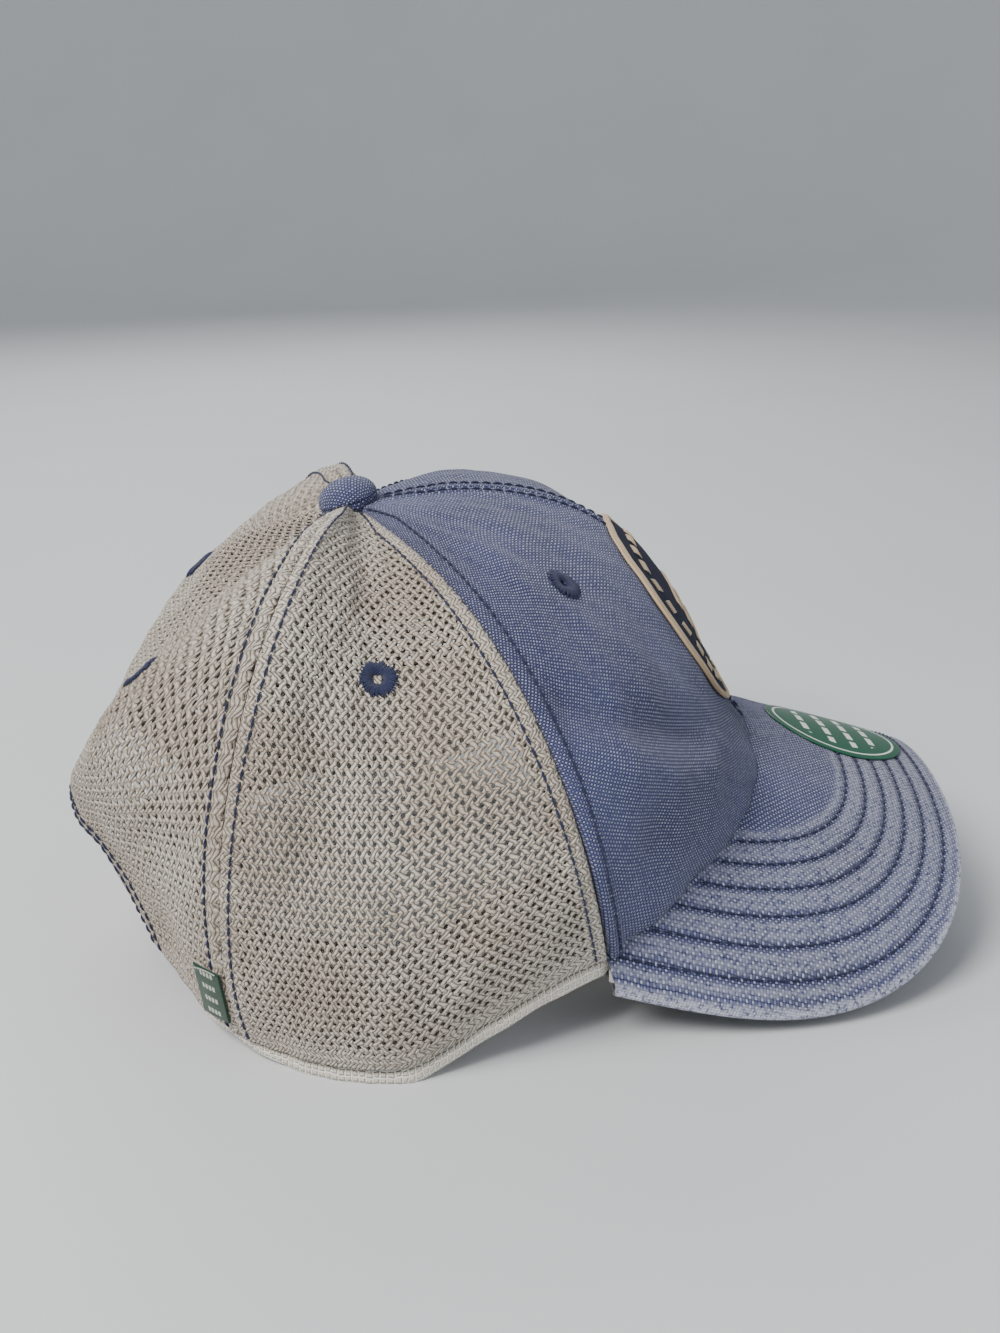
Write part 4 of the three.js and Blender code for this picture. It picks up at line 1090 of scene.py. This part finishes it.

# ---- Snap strap ----------------------------------------------------------------
# Two moulded plastic straps overlap across the opening: a row of holes on the right
# one, a row of pegs on the left. Each is sewn under the facing at its root and is
# made thinner on a line beside it.

STRAP_HEIGHT, STRAP_THICK, STRAP_TIP, SNAP_PITCH, HOLE = 18.0, 1.3, 18.0, 8.5, 2.45
SNAPS = SNAP_PITCH * (np.arange(6) - 1.5)
strap_v = np.array(climb(5, 1.5 + STRAP_HEIGHT / 2))
leg_u = station_behind(OPENING_HALF, strap_v, halvings=30)
leg_around, leg_up, _ = directions(leg_u, strap_v)
leg_point = crown(leg_u, strap_v, 1, SWEAT_DEPTH + 0.3)
strap_up = unit(leg_up - leg_around * leg_up[1] / leg_around[1])
LEAN = math.atan2(strap_up[0], strap_up[2])
lean_turn = np.array([[math.cos(LEAN), 0, math.sin(LEAN)], [0, 1, 0], [-math.sin(LEAN), 0, math.cos(LEAN)]])
leg_local, around_local = leg_point @ lean_turn, leg_around @ lean_turn
SLANT = math.atan2(abs(around_local[0]), abs(around_local[1]))
ARC = leg_local[1] / math.sin(SLANT)
ARC_CENTRE = leg_local[0] + ARC * math.cos(SLANT)
HINGE = SLANT * ARC - 1.5


def strap_point(along, height, depth):
    """On the strap's arc: along from the middle plane to the left, depth inwards."""
    angle = along / ARC
    radius = ARC - depth
    local = np.stack(np.broadcast_arrays(ARC_CENTRE - radius * np.cos(angle), radius * np.sin(angle),
                                         leg_local[2] + height), -1)
    return local @ lean_turn.T


def strap_plan(with_holes):
    """Flat cells of the strap, from its tip at negative distances to its root: rings of 32
    points from each snap out to its cell's outline. The first cell's outline is the tip."""
    half = STRAP_HEIGHT / 2
    corner = np.linspace(-1, 1, 9)[:-1]
    square = np.concatenate([np.stack([corner, -np.ones(8)], -1), np.stack([np.ones(8), corner], -1),
                             np.stack([-corner, np.ones(8)], -1), np.stack([-np.ones(8), -corner], -1)])
    turn = np.arctan2(square[:, 1], square[:, 0])
    points, faces = [], []
    for k, place in enumerate(SNAPS):
        outline = np.stack([place + square[:, 0] * SNAP_PITCH / 2, square[:, 1] * half], -1)
        if k == 0:
            tip = half - STRAP_TIP
            left = outline[:, 0] < place + SNAP_PITCH / 2 - 0.01
            angle = np.arctan2(outline[:, 1], outline[:, 0] - (place + SNAP_PITCH / 2))
            arc = np.stack([tip + half * np.cos(angle), half * np.sin(angle)], -1)
            outline = np.where(left[:, None], arc, outline)
        hole = np.stack([place + HOLE * np.cos(turn), HOLE * np.sin(turn)], -1)
        rings = [hole + (outline - hole) * share for share in (0, 0.10, 0.4, 0.7, 1)]
        if not with_holes:
            centre = np.array([place, 0])
            rings = [centre + (hole - centre) * share for share in (0.02, 0.5)] + rings
        first = sum(len(block) for block in points)
        faces += quads(len(rings), 32, first, wrap=True)[:, ::-1].tolist()
        if not with_holes:
            faces.append(list(range(first, first + 32)))
        points.append(np.vstack(rings))
    start = SNAPS[-1] + SNAP_PITCH / 2
    stations = np.concatenate([np.linspace(start, HINGE - 0.5, 5), np.linspace(HINGE, HINGE + 1.4, 6),
                               np.linspace(HINGE + 2.2, HINGE + 0.9 + 9, 5)])
    first = sum(len(block) for block in points)
    grid = np.stack(np.meshgrid(stations, np.linspace(-half, half, 9), indexing="ij"), -1)
    points.append(grid.reshape(-1, 2))
    faces += quads(len(stations), 9, first).tolist()
    return np.vstack(points), faces


def strap_piece(name, way, depth, with_holes):
    """The plan wrapped on the arc and given its thickness; way is -1 for the right strap."""
    plan, faces = strap_plan(with_holes)
    rounded = np.round(plan, 3)
    unique, inverse = np.unique(rounded, axis=0, return_inverse=True)
    inverse = inverse.ravel()
    faces = [[int(inverse[k]) for k in face] for face in faces]
    along, height = way * unique[:, 0], unique[:, 1]
    thin = 0.35 * np.exp(-((unique[:, 0] - HINGE - 0.45) / 0.5) ** 2)
    outer = strap_point(along, height, depth + thin)
    inner = strap_point(along, height, depth + STRAP_THICK - thin)
    size = len(unique)
    edges = np.array([[face[k], face[(k + 1) % len(face)]] for face in faces for k in range(len(face))])
    rim_from, rim_to = open_rim(edges)
    under_faces = [[k + size for k in face[::-1]] for face in faces]
    walls = np.stack([rim_to, rim_from, rim_from + size, rim_to + size], -1).tolist()
    every = faces + under_faces + walls
    if way > 0:
        every = [face[::-1] for face in every]
    return np.vstack([outer, inner]), every


def peg_rows(place):
    """A peg with a slightly swollen head, turned round its own axis through both straps."""
    profile = [(2.1, INNER_STRAP + 0.4), (1.75, INNER_STRAP - 0.25), (1.5, INNER_STRAP - 0.8),
               (1.45, INNER_STRAP - 1.5), (1.62, INNER_STRAP - 2.0), (1.55, INNER_STRAP - 2.4),
               (1.15, INNER_STRAP - 2.6), (0.4, INNER_STRAP - 2.65)]
    turn = np.arange(20) * 2 * np.pi / 20
    rows = [strap_point(place + radius * np.cos(turn), radius * np.sin(turn), depth)
            for radius, depth in profile]
    return np.vstack(rows), quads(len(profile), 20, wrap=True).tolist() + [[k + 140 for k in range(20)]]


def strap_finish():
    """Slightly cloudy moulded plastic with a soft satin face."""
    paint = Paint("strap_plastic", roughness=0.38, specular=0.5)
    paint.shader.inputs["Subsurface Weight"].default_value = 0.25
    paint.shader.inputs["Subsurface Scale"].default_value = 0.002
    cloud = paint.noise(paint.place(), 180, 3)
    paint.colour(paint.mix(cloud, (0.62, 0.58, 0.49, 1), (0.70, 0.66, 0.57, 1)))
    paint.bump(cloud, 0.00004)
    return paint.material


strap_plastic = strap_finish()
INNER_STRAP = STRAP_THICK + 0.4

for name, way, depth, with_holes in (("hole_strap", -1, 0.0, True), ("stud_strap", 1, INNER_STRAP, False)):
    points, faces = strap_piece(name, way, depth, with_holes)
    if not with_holes:
        for place in SNAPS:
            peg_points, peg_faces = peg_rows(way * place)
            faces += [[k + len(points) for k in face] for face in peg_faces]
            points = np.vstack([points, peg_points])
    strap = make_mixed(name + "_moulding", points, faces, smooth_faces=False)
    edge = strap.modifiers.new("soft_edges", "BEVEL")
    edge.width = 0.00022
    edge.segments = 2
    edge.limit_method = "ANGLE"
    edge.angle_limit = math.radians(50)
    strap.data.materials.append(strap_plastic)
    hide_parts(name, name + "_tab")
    hinge_start = (strap_point(way * (HINGE + 0.9), 0.0, depth) + SHIFT) / 1000
    hinge_end = (strap_point(way * HINGE, 0.0, depth) + SHIFT) / 1000
    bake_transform(strap)

# ---- Button --------------------------------------------------------------------
# A steel shell covered in the front panels' canvas, gathered under its edge. Its
# shank and washer are inside the crown.

ROUND = np.linspace(0, 6, 25)
slopes = directions(ROUND, np.full(25, 0.93))[2]
TOP = unit(np.array([slopes[:, 0].sum(), 0, slopes[:, 2].sum()]))
TOP_SIDE = unit(np.cross([0, 1, 0], TOP))


def button_seat(radius):
    """How far the crown's outer face rises above the seat within a radius."""
    u, v = np.meshgrid(np.linspace(0, 6, 37), np.linspace(0.85, 0.982, 21))
    away = crown(u, v, 1) - APEX
    level = away @ TOP
    flat = np.sqrt(np.maximum(0, (away ** 2).sum(-1) - level ** 2))
    return level[flat < radius + 0.8].max() + 0.3


BUTTON_RADIUS, BUTTON_HEIGHT = 7.8, 5.4
SEAT = button_seat(BUTTON_RADIUS)


def disc_grid(count):
    """A square grid bowed out to a unit disc, so that it has no pole."""
    a, b = np.meshgrid(np.linspace(-1, 1, count), np.linspace(-1, 1, count), indexing="ij")
    return a * np.sqrt(1 - b ** 2 / 2), b * np.sqrt(1 - a ** 2 / 2)


def on_top(x, y, z):
    """Button coordinates to crown millimetres."""
    return APEX + x[..., None] * TOP_SIDE + y[..., None] * np.array([0, 1, 0]) + z[..., None] * TOP


x, y = disc_grid(61)
reach = np.sqrt(x ** 2 + y ** 2)
turn = np.arctan2(y, x)
pucker = 0.10 * smooth(reach, 0.62, 0.97) * np.sin(17 * turn + 1.5 * np.sin(3 * turn))
polar = np.clip(reach, 0, 1) * np.pi / 2
radius = BUTTON_RADIUS * (1 + pucker * 0.08)
outer = on_top(radius * np.sin(polar) * np.cos(turn), radius * np.sin(polar) * np.sin(turn),
               SEAT + BUTTON_HEIGHT * np.cos(polar) ** 0.9 + pucker)
inner = on_top((BUTTON_RADIUS - 0.8) * np.sin(polar) * np.cos(turn),
               (BUTTON_RADIUS - 0.8) * np.sin(polar) * np.sin(turn),
               SEAT + (BUTTON_HEIGHT - 0.8) * np.cos(polar))
cover = shell("button_canvas", outer, inner, np.stack([x, y], -1) * BUTTON_RADIUS * 1.35, canvas)
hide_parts("button_cover")
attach(cover, "crown")


def gathered_edge():
    """Canvas drawn in under the shell: a ring whose lower edge follows the crown, found as
    the level of the nearest of many crown points."""
    u, v = np.meshgrid(np.linspace(0, 6, 90), np.linspace(0.86, 0.99, 60))
    near_top = np.concatenate([crown(u, v, 1), crown(u, v, -1)]).reshape(-1, 3) - APEX
    plan = np.stack([near_top @ TOP_SIDE, near_top[:, 1]], -1)
    levels = near_top @ TOP
    turn = np.arange(120) * 2 * np.pi / 120
    rows = []
    for reach, share in ((7.45, 1.0), (7.55, 0.6), (7.35, 0.25), (6.9, 0.0), (5.2, 0.0), (5.2, 1.0)):
        wrinkle = 0.12 * np.sin(31 * turn) * (share < 1)
        x, y = (reach + wrinkle) * np.cos(turn), (reach + wrinkle) * np.sin(turn)
        nearest = ((plan[None] - np.stack([x, y], -1)[:, None]) ** 2).sum(-1).argmin(1)
        foot = levels[nearest] + 0.2
        rows.append(on_top(x, y, foot + (SEAT + 0.35 - foot) * share))
    rows.append(rows[0])
    points = np.stack(rows[:-1]).reshape(-1, 3)
    faces = quads(len(rows), 120, wrap=True) % len(points)
    mapped = np.stack(np.meshgrid(np.arange(6) * 1.2, turn * 7.4, indexing="ij"), -1).reshape(-1, 2)
    piece = make_mesh("button_gather", points, faces[:, ::-1], mapped)
    piece.data.materials.append(canvas)
    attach(piece, "crown")


gathered_edge()


def steel_finish():
    """Tinned steel with faint tool marks."""
    paint = Paint("plated_steel", roughness=0.35, metallic=1.0)
    scuff = paint.noise(paint.scaled(paint.place(), (900, 120, 900)), 1.0)
    paint.colour(paint.mix(scuff, (0.45, 0.45, 0.46, 1), (0.60, 0.60, 0.61, 1)))
    return paint.material


steel = steel_finish()
finish_cad("button_disc", steel)
finish_cad("button_washer", steel)

# ---- Round patch ---------------------------------------------------------------
# Navy twill disc sewn over the front seam inside a narrow overlocked border of tan
# thread, with a plain embroidered device: a ring of bars round stacked chevrons.

PATCH_RADIUS, PATCH_BORDER, PATCH_V = 30.0, 1.8, 0.37
TAN = (0.60, 0.44, 0.27, 1)
tan_thread = thread_finish("patch_thread", TAN, (0.80, 0.66, 0.47, 1))
patch_rise = float(np.linalg.norm(skin(0, PATCH_V + 0.01) - skin(0, PATCH_V - 0.01)) / 0.02)


def on_front(right, above, outwards):
    """The crown at a distance right of the front seam and above the patch's middle."""
    v = PATCH_V + above / patch_rise
    u = np.zeros_like(v)
    for _ in range(40):
        speed = np.linalg.norm(skin(u + 0.01, v) - skin(u, v), axis=-1) / 0.01
        u = u + np.abs(right) / 40 / speed
    side = np.where(right > 0, -1.0, 1.0)
    flat = crown(u, v, 1, -outwards - np.maximum(folds(u, v, side), -1.0) * 0.5)
    return flat * np.stack([np.ones_like(side), side, np.ones_like(side)], -1)


x, y = disc_grid(71)
patch_face = PATCH_RADIUS - PATCH_BORDER - 0.3
outer = on_front(x * patch_face, y * patch_face, np.full_like(x, 1.35))
inner = on_front(x * patch_face, y * patch_face, np.full_like(x, 0.35))
patch = shell("patch_twill", outer, inner, np.stack([x, y], -1) * patch_face,
              twill_finish("patch_twill", (0.006, 0.007, 0.016, 1), (0.022, 0.026, 0.055, 1), 0.55,
                           sheen=0.02),
              flip=True)
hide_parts("patch_base")
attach(patch, "crown")

turn = np.arange(240) * 2 * np.pi / 240
section_turn = np.arange(10) * 2 * np.pi / 10
ring_radius = PATCH_RADIUS - PATCH_BORDER / 2 + PATCH_BORDER / 2 * 0.85 * np.cos(section_turn)
ring_height = 1.0 + 0.62 * np.sin(section_turn)
core = on_front(ring_radius[:, None] * np.cos(turn), ring_radius[:, None] * np.sin(turn),
                np.broadcast_to(ring_height[:, None], (10, 240)).copy())
core_faces = np.vstack([quads(10, 240, wrap=True),
                        np.stack([9 * 240 + np.arange(240), 9 * 240 + (np.arange(240) + 1) % 240,
                                  (np.arange(240) + 1) % 240, np.arange(240)], -1)])
border = make_mesh("patch_border_core", core.reshape(-1, 3), core_faces[:, ::-1])
border.data.materials.append(tan_thread)
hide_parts("patch_border")
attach(border, "crown")


def embroider(name, lines, material, radius=0.22, height=1.5, bow=0.25):
    """Satin stitches on the patch from rows of (x, y, x, y) in its plane."""
    lines = np.asarray(lines)
    begin = on_front(lines[:, 0], lines[:, 1], np.full(len(lines), height))
    end = on_front(lines[:, 2], lines[:, 3], np.full(len(lines), height))
    proud = on_front(lines[:, 0], lines[:, 1], np.full(len(lines), height + 1.0)) - begin
    piece = threads(name, begin, end, unit(proud), radius, material, bow)
    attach(piece, "crown")
    return piece


wrap_turn = np.arange(430) * 2 * np.pi / 430
inside, outside = PATCH_RADIUS - PATCH_BORDER, PATCH_RADIUS - 0.1
embroider("patch_border_wraps", np.stack([inside * np.cos(wrap_turn), inside * np.sin(wrap_turn),
                                          outside * np.cos(wrap_turn + 0.012),
                                          outside * np.sin(wrap_turn + 0.012)], -1),
          tan_thread, radius=0.25, height=1.35, bow=0.35)

device = []
for k in range(22):
    spoke = k * 2 * np.pi / 22
    for shift in np.linspace(-1.6, 1.6, 8):
        turn = spoke + shift / 22.5
        device.append([21.0 * math.cos(turn), 21.0 * math.sin(turn),
                       24.2 * math.cos(turn), 24.2 * math.sin(turn)])
for base in (-9.0, -3.5, 2.0):
    for step in np.linspace(-11, 11, 56):
        rise = base + 6.5 * (1 - abs(step) / 11)
        device.append([step, rise, step, rise + 2.6])
embroider("patch_device", device, tan_thread)

# ---- Labels and sticker --------------------------------------------------------
# A green ribbon flag in the seam behind the right side panel, a white care label in
# the sweatband's top seam, and a round film sticker on the visor. All carry plain
# bars and rings only.


def ribbon_finish(name, ground, pale, bars):
    """Woven ribbon: fine weft ribs, a pale edge line and short bars across the middle."""
    paint = Paint(name, roughness=0.7, sheen=0.3)
    x, y, _ = paint.parts(paint.place("UV"))
    rib = paint.math("ABSOLUTE", paint.math("SINE", paint.math("MULTIPLY", y, math.pi / 0.35)))
    row = paint.math("PINGPONG", paint.math("MULTIPLY", y, 1.0), bars)
    inside = paint.math("MULTIPLY", paint.step(row, bars * 0.55, bars * 0.7),
                        paint.math("MULTIPLY", paint.step(x, 2.2, 2.5), paint.step(x, 6.8, 6.5)))
    broken = paint.step(paint.math("SINE", paint.math("MULTIPLY", x, 5.2)), -0.6, -0.4)
    tone = paint.mix(paint.math("MULTIPLY", inside, broken), ground, pale)
    paint.colour(paint.mix(paint.math("MULTIPLY", rib, 0.25), tone, (0.0, 0.0, 0.0, 1)))
    paint.bump(rib, 0.00006)
    return paint.material


def label_frame():
    """The side label's root line and directions, on the right side's rear seam."""
    v = np.array(climb(4, 4 + 7))
    u = 4 + 0.6 / ring_speed(np.array(4.0), v)
    around, up, out = directions(u, v)
    mirror = np.array([1, -1, 1])
    around, out = around * mirror, out * mirror
    upright = unit(np.cross(around, out))
    return crown(u, v, -1) + out * 0.9, around, unit(np.cross(upright, around)), upright


root, along_label, off_label, up_label = label_frame()
x, z = np.meshgrid(np.linspace(0, 9, 25), np.linspace(-7, 7, 35), indexing="ij")
sag = 0.22 * np.sin(x / 9 * np.pi) * np.cos(z / 7) - 0.12 * (x / 9) ** 2
face = root + x[..., None] * along_label + z[..., None] * up_label \
    + (sag + 0.28)[..., None] * off_label
back = root + x[..., None] * along_label + z[..., None] * up_label + (sag - 0.28)[..., None] * off_label
flag = shell("side_label_ribbon", face, back, np.stack([x, z + 7], -1),
             ribbon_finish("green_ribbon", (0.006, 0.045, 0.022, 1), (0.62, 0.66, 0.58, 1), 1.8))
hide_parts("side_label")
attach(flag, "side_label")

curve = np.linspace(0, 1, 40)
loose = root + np.outer(0.5 + 12 * curve, along_label) \
    + np.outer(7.2 + 2.0 * np.sin(np.pi * curve) - 3.5 * curve ** 2, up_label) \
    + np.outer(0.7 + 1.8 * np.sin(2.2 * curve), off_label)
end_thread = stitch_ends(loose, np.tile(off_label, (40, 1)), 0.9, -0.25)
loose_thread = threads("loose_thread", *end_thread, 0.17,
                       thread_finish("white_thread", (0.72, 0.70, 0.64, 1), (0.90, 0.88, 0.83, 1)), bow=0.0)
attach(loose_thread, "side_label")

CARE_STATION = 4.45   # just behind the left side panel
label_v = climb(CARE_STATION, 20)
half = 12 / ring_speed(np.array(CARE_STATION), np.array(label_v))
heights, stations = np.meshgrid(np.linspace(20, 40, 21),
                                np.linspace(CARE_STATION - half, CARE_STATION + half, 25), indexing="ij")
v_table, walked = meridian_table(CARE_STATION)
v = np.interp(heights, walked, v_table)
care_depth = SWEAT_DEPTH + SWEAT_THICK + 0.35
curl = 0.25 * np.sin((stations - CARE_STATION) / half * 2.5) * (heights - 20) / 20
near_face = crown(stations, v, 1, care_depth - folds(stations, v, 1) + np.maximum(curl, 0))
far_face = crown(stations, v, 1, care_depth + 0.5 - folds(stations, v, 1) + np.maximum(curl, 0))
care = shell("care_label_cloth", far_face, near_face,
             np.stack([(stations - CARE_STATION) / half * 12 + 12, heights - 20], -1) * 0.4,
             ribbon_finish("white_ribbon", (0.78, 0.77, 0.73, 1), (0.25, 0.25, 0.26, 1), 0.8))
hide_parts("care_label")
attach(care, "crown")


def sticker_finish():
    """Printed film: a dark green disc with a pale ring and plain bars, glossy."""
    paint = Paint("sticker_film", roughness=0.36, specular=0.4)
    x, y, _ = paint.parts(paint.place("UV"))
    reach = paint.math("SQRT", paint.math("ADD", paint.math("MULTIPLY", x, x), paint.math("MULTIPLY", y, y)))
    rim = paint.math("MULTIPLY", paint.step(reach, 16.4, 16.6), paint.step(reach, 17.2, 17.0))
    inside = paint.step(reach, 13.6, 13.3)
    row = paint.math("PINGPONG", x, 3.1)
    wide_bar = paint.math("MULTIPLY", paint.step(row, 2.15, 2.3), inside)
    dash = paint.step(paint.math("SINE", paint.math("MULTIPLY", y, 0.9)), -0.75, -0.6)
    marks = paint.math("MAXIMUM", rim, paint.math("MULTIPLY", wide_bar, dash))
    paint.colour(paint.mix(marks, (0.010, 0.085, 0.045, 1), (0.72, 0.76, 0.70, 1)))
    return paint.material


STICKER_RADIUS, STICKER_X, STICKER_Y = 19.0, 122.0, 8.0
x, y = disc_grid(49)
plan_x, plan_y = STICKER_X + x * STICKER_RADIUS, STICKER_Y + y * STICKER_RADIUS
steep = plan_y / np.sqrt(VISOR_RADIUS ** 2 - plan_y ** 2)
normal = unit(np.stack([np.full_like(plan_x, VISOR_SLOPE), steep, np.ones_like(plan_x)], -1))
base = np.stack([plan_x, plan_y, visor_top(plan_x, plan_y)], -1)
sticker = shell("visor_sticker_film", base + normal * 0.55, base + normal * 0.2,
                np.stack([x, y], -1) * STICKER_RADIUS, sticker_finish())
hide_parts("visor_sticker")
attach(sticker, "crown")

# ---- Bounds of the frame -------------------------------------------------------

low, high = cad_box
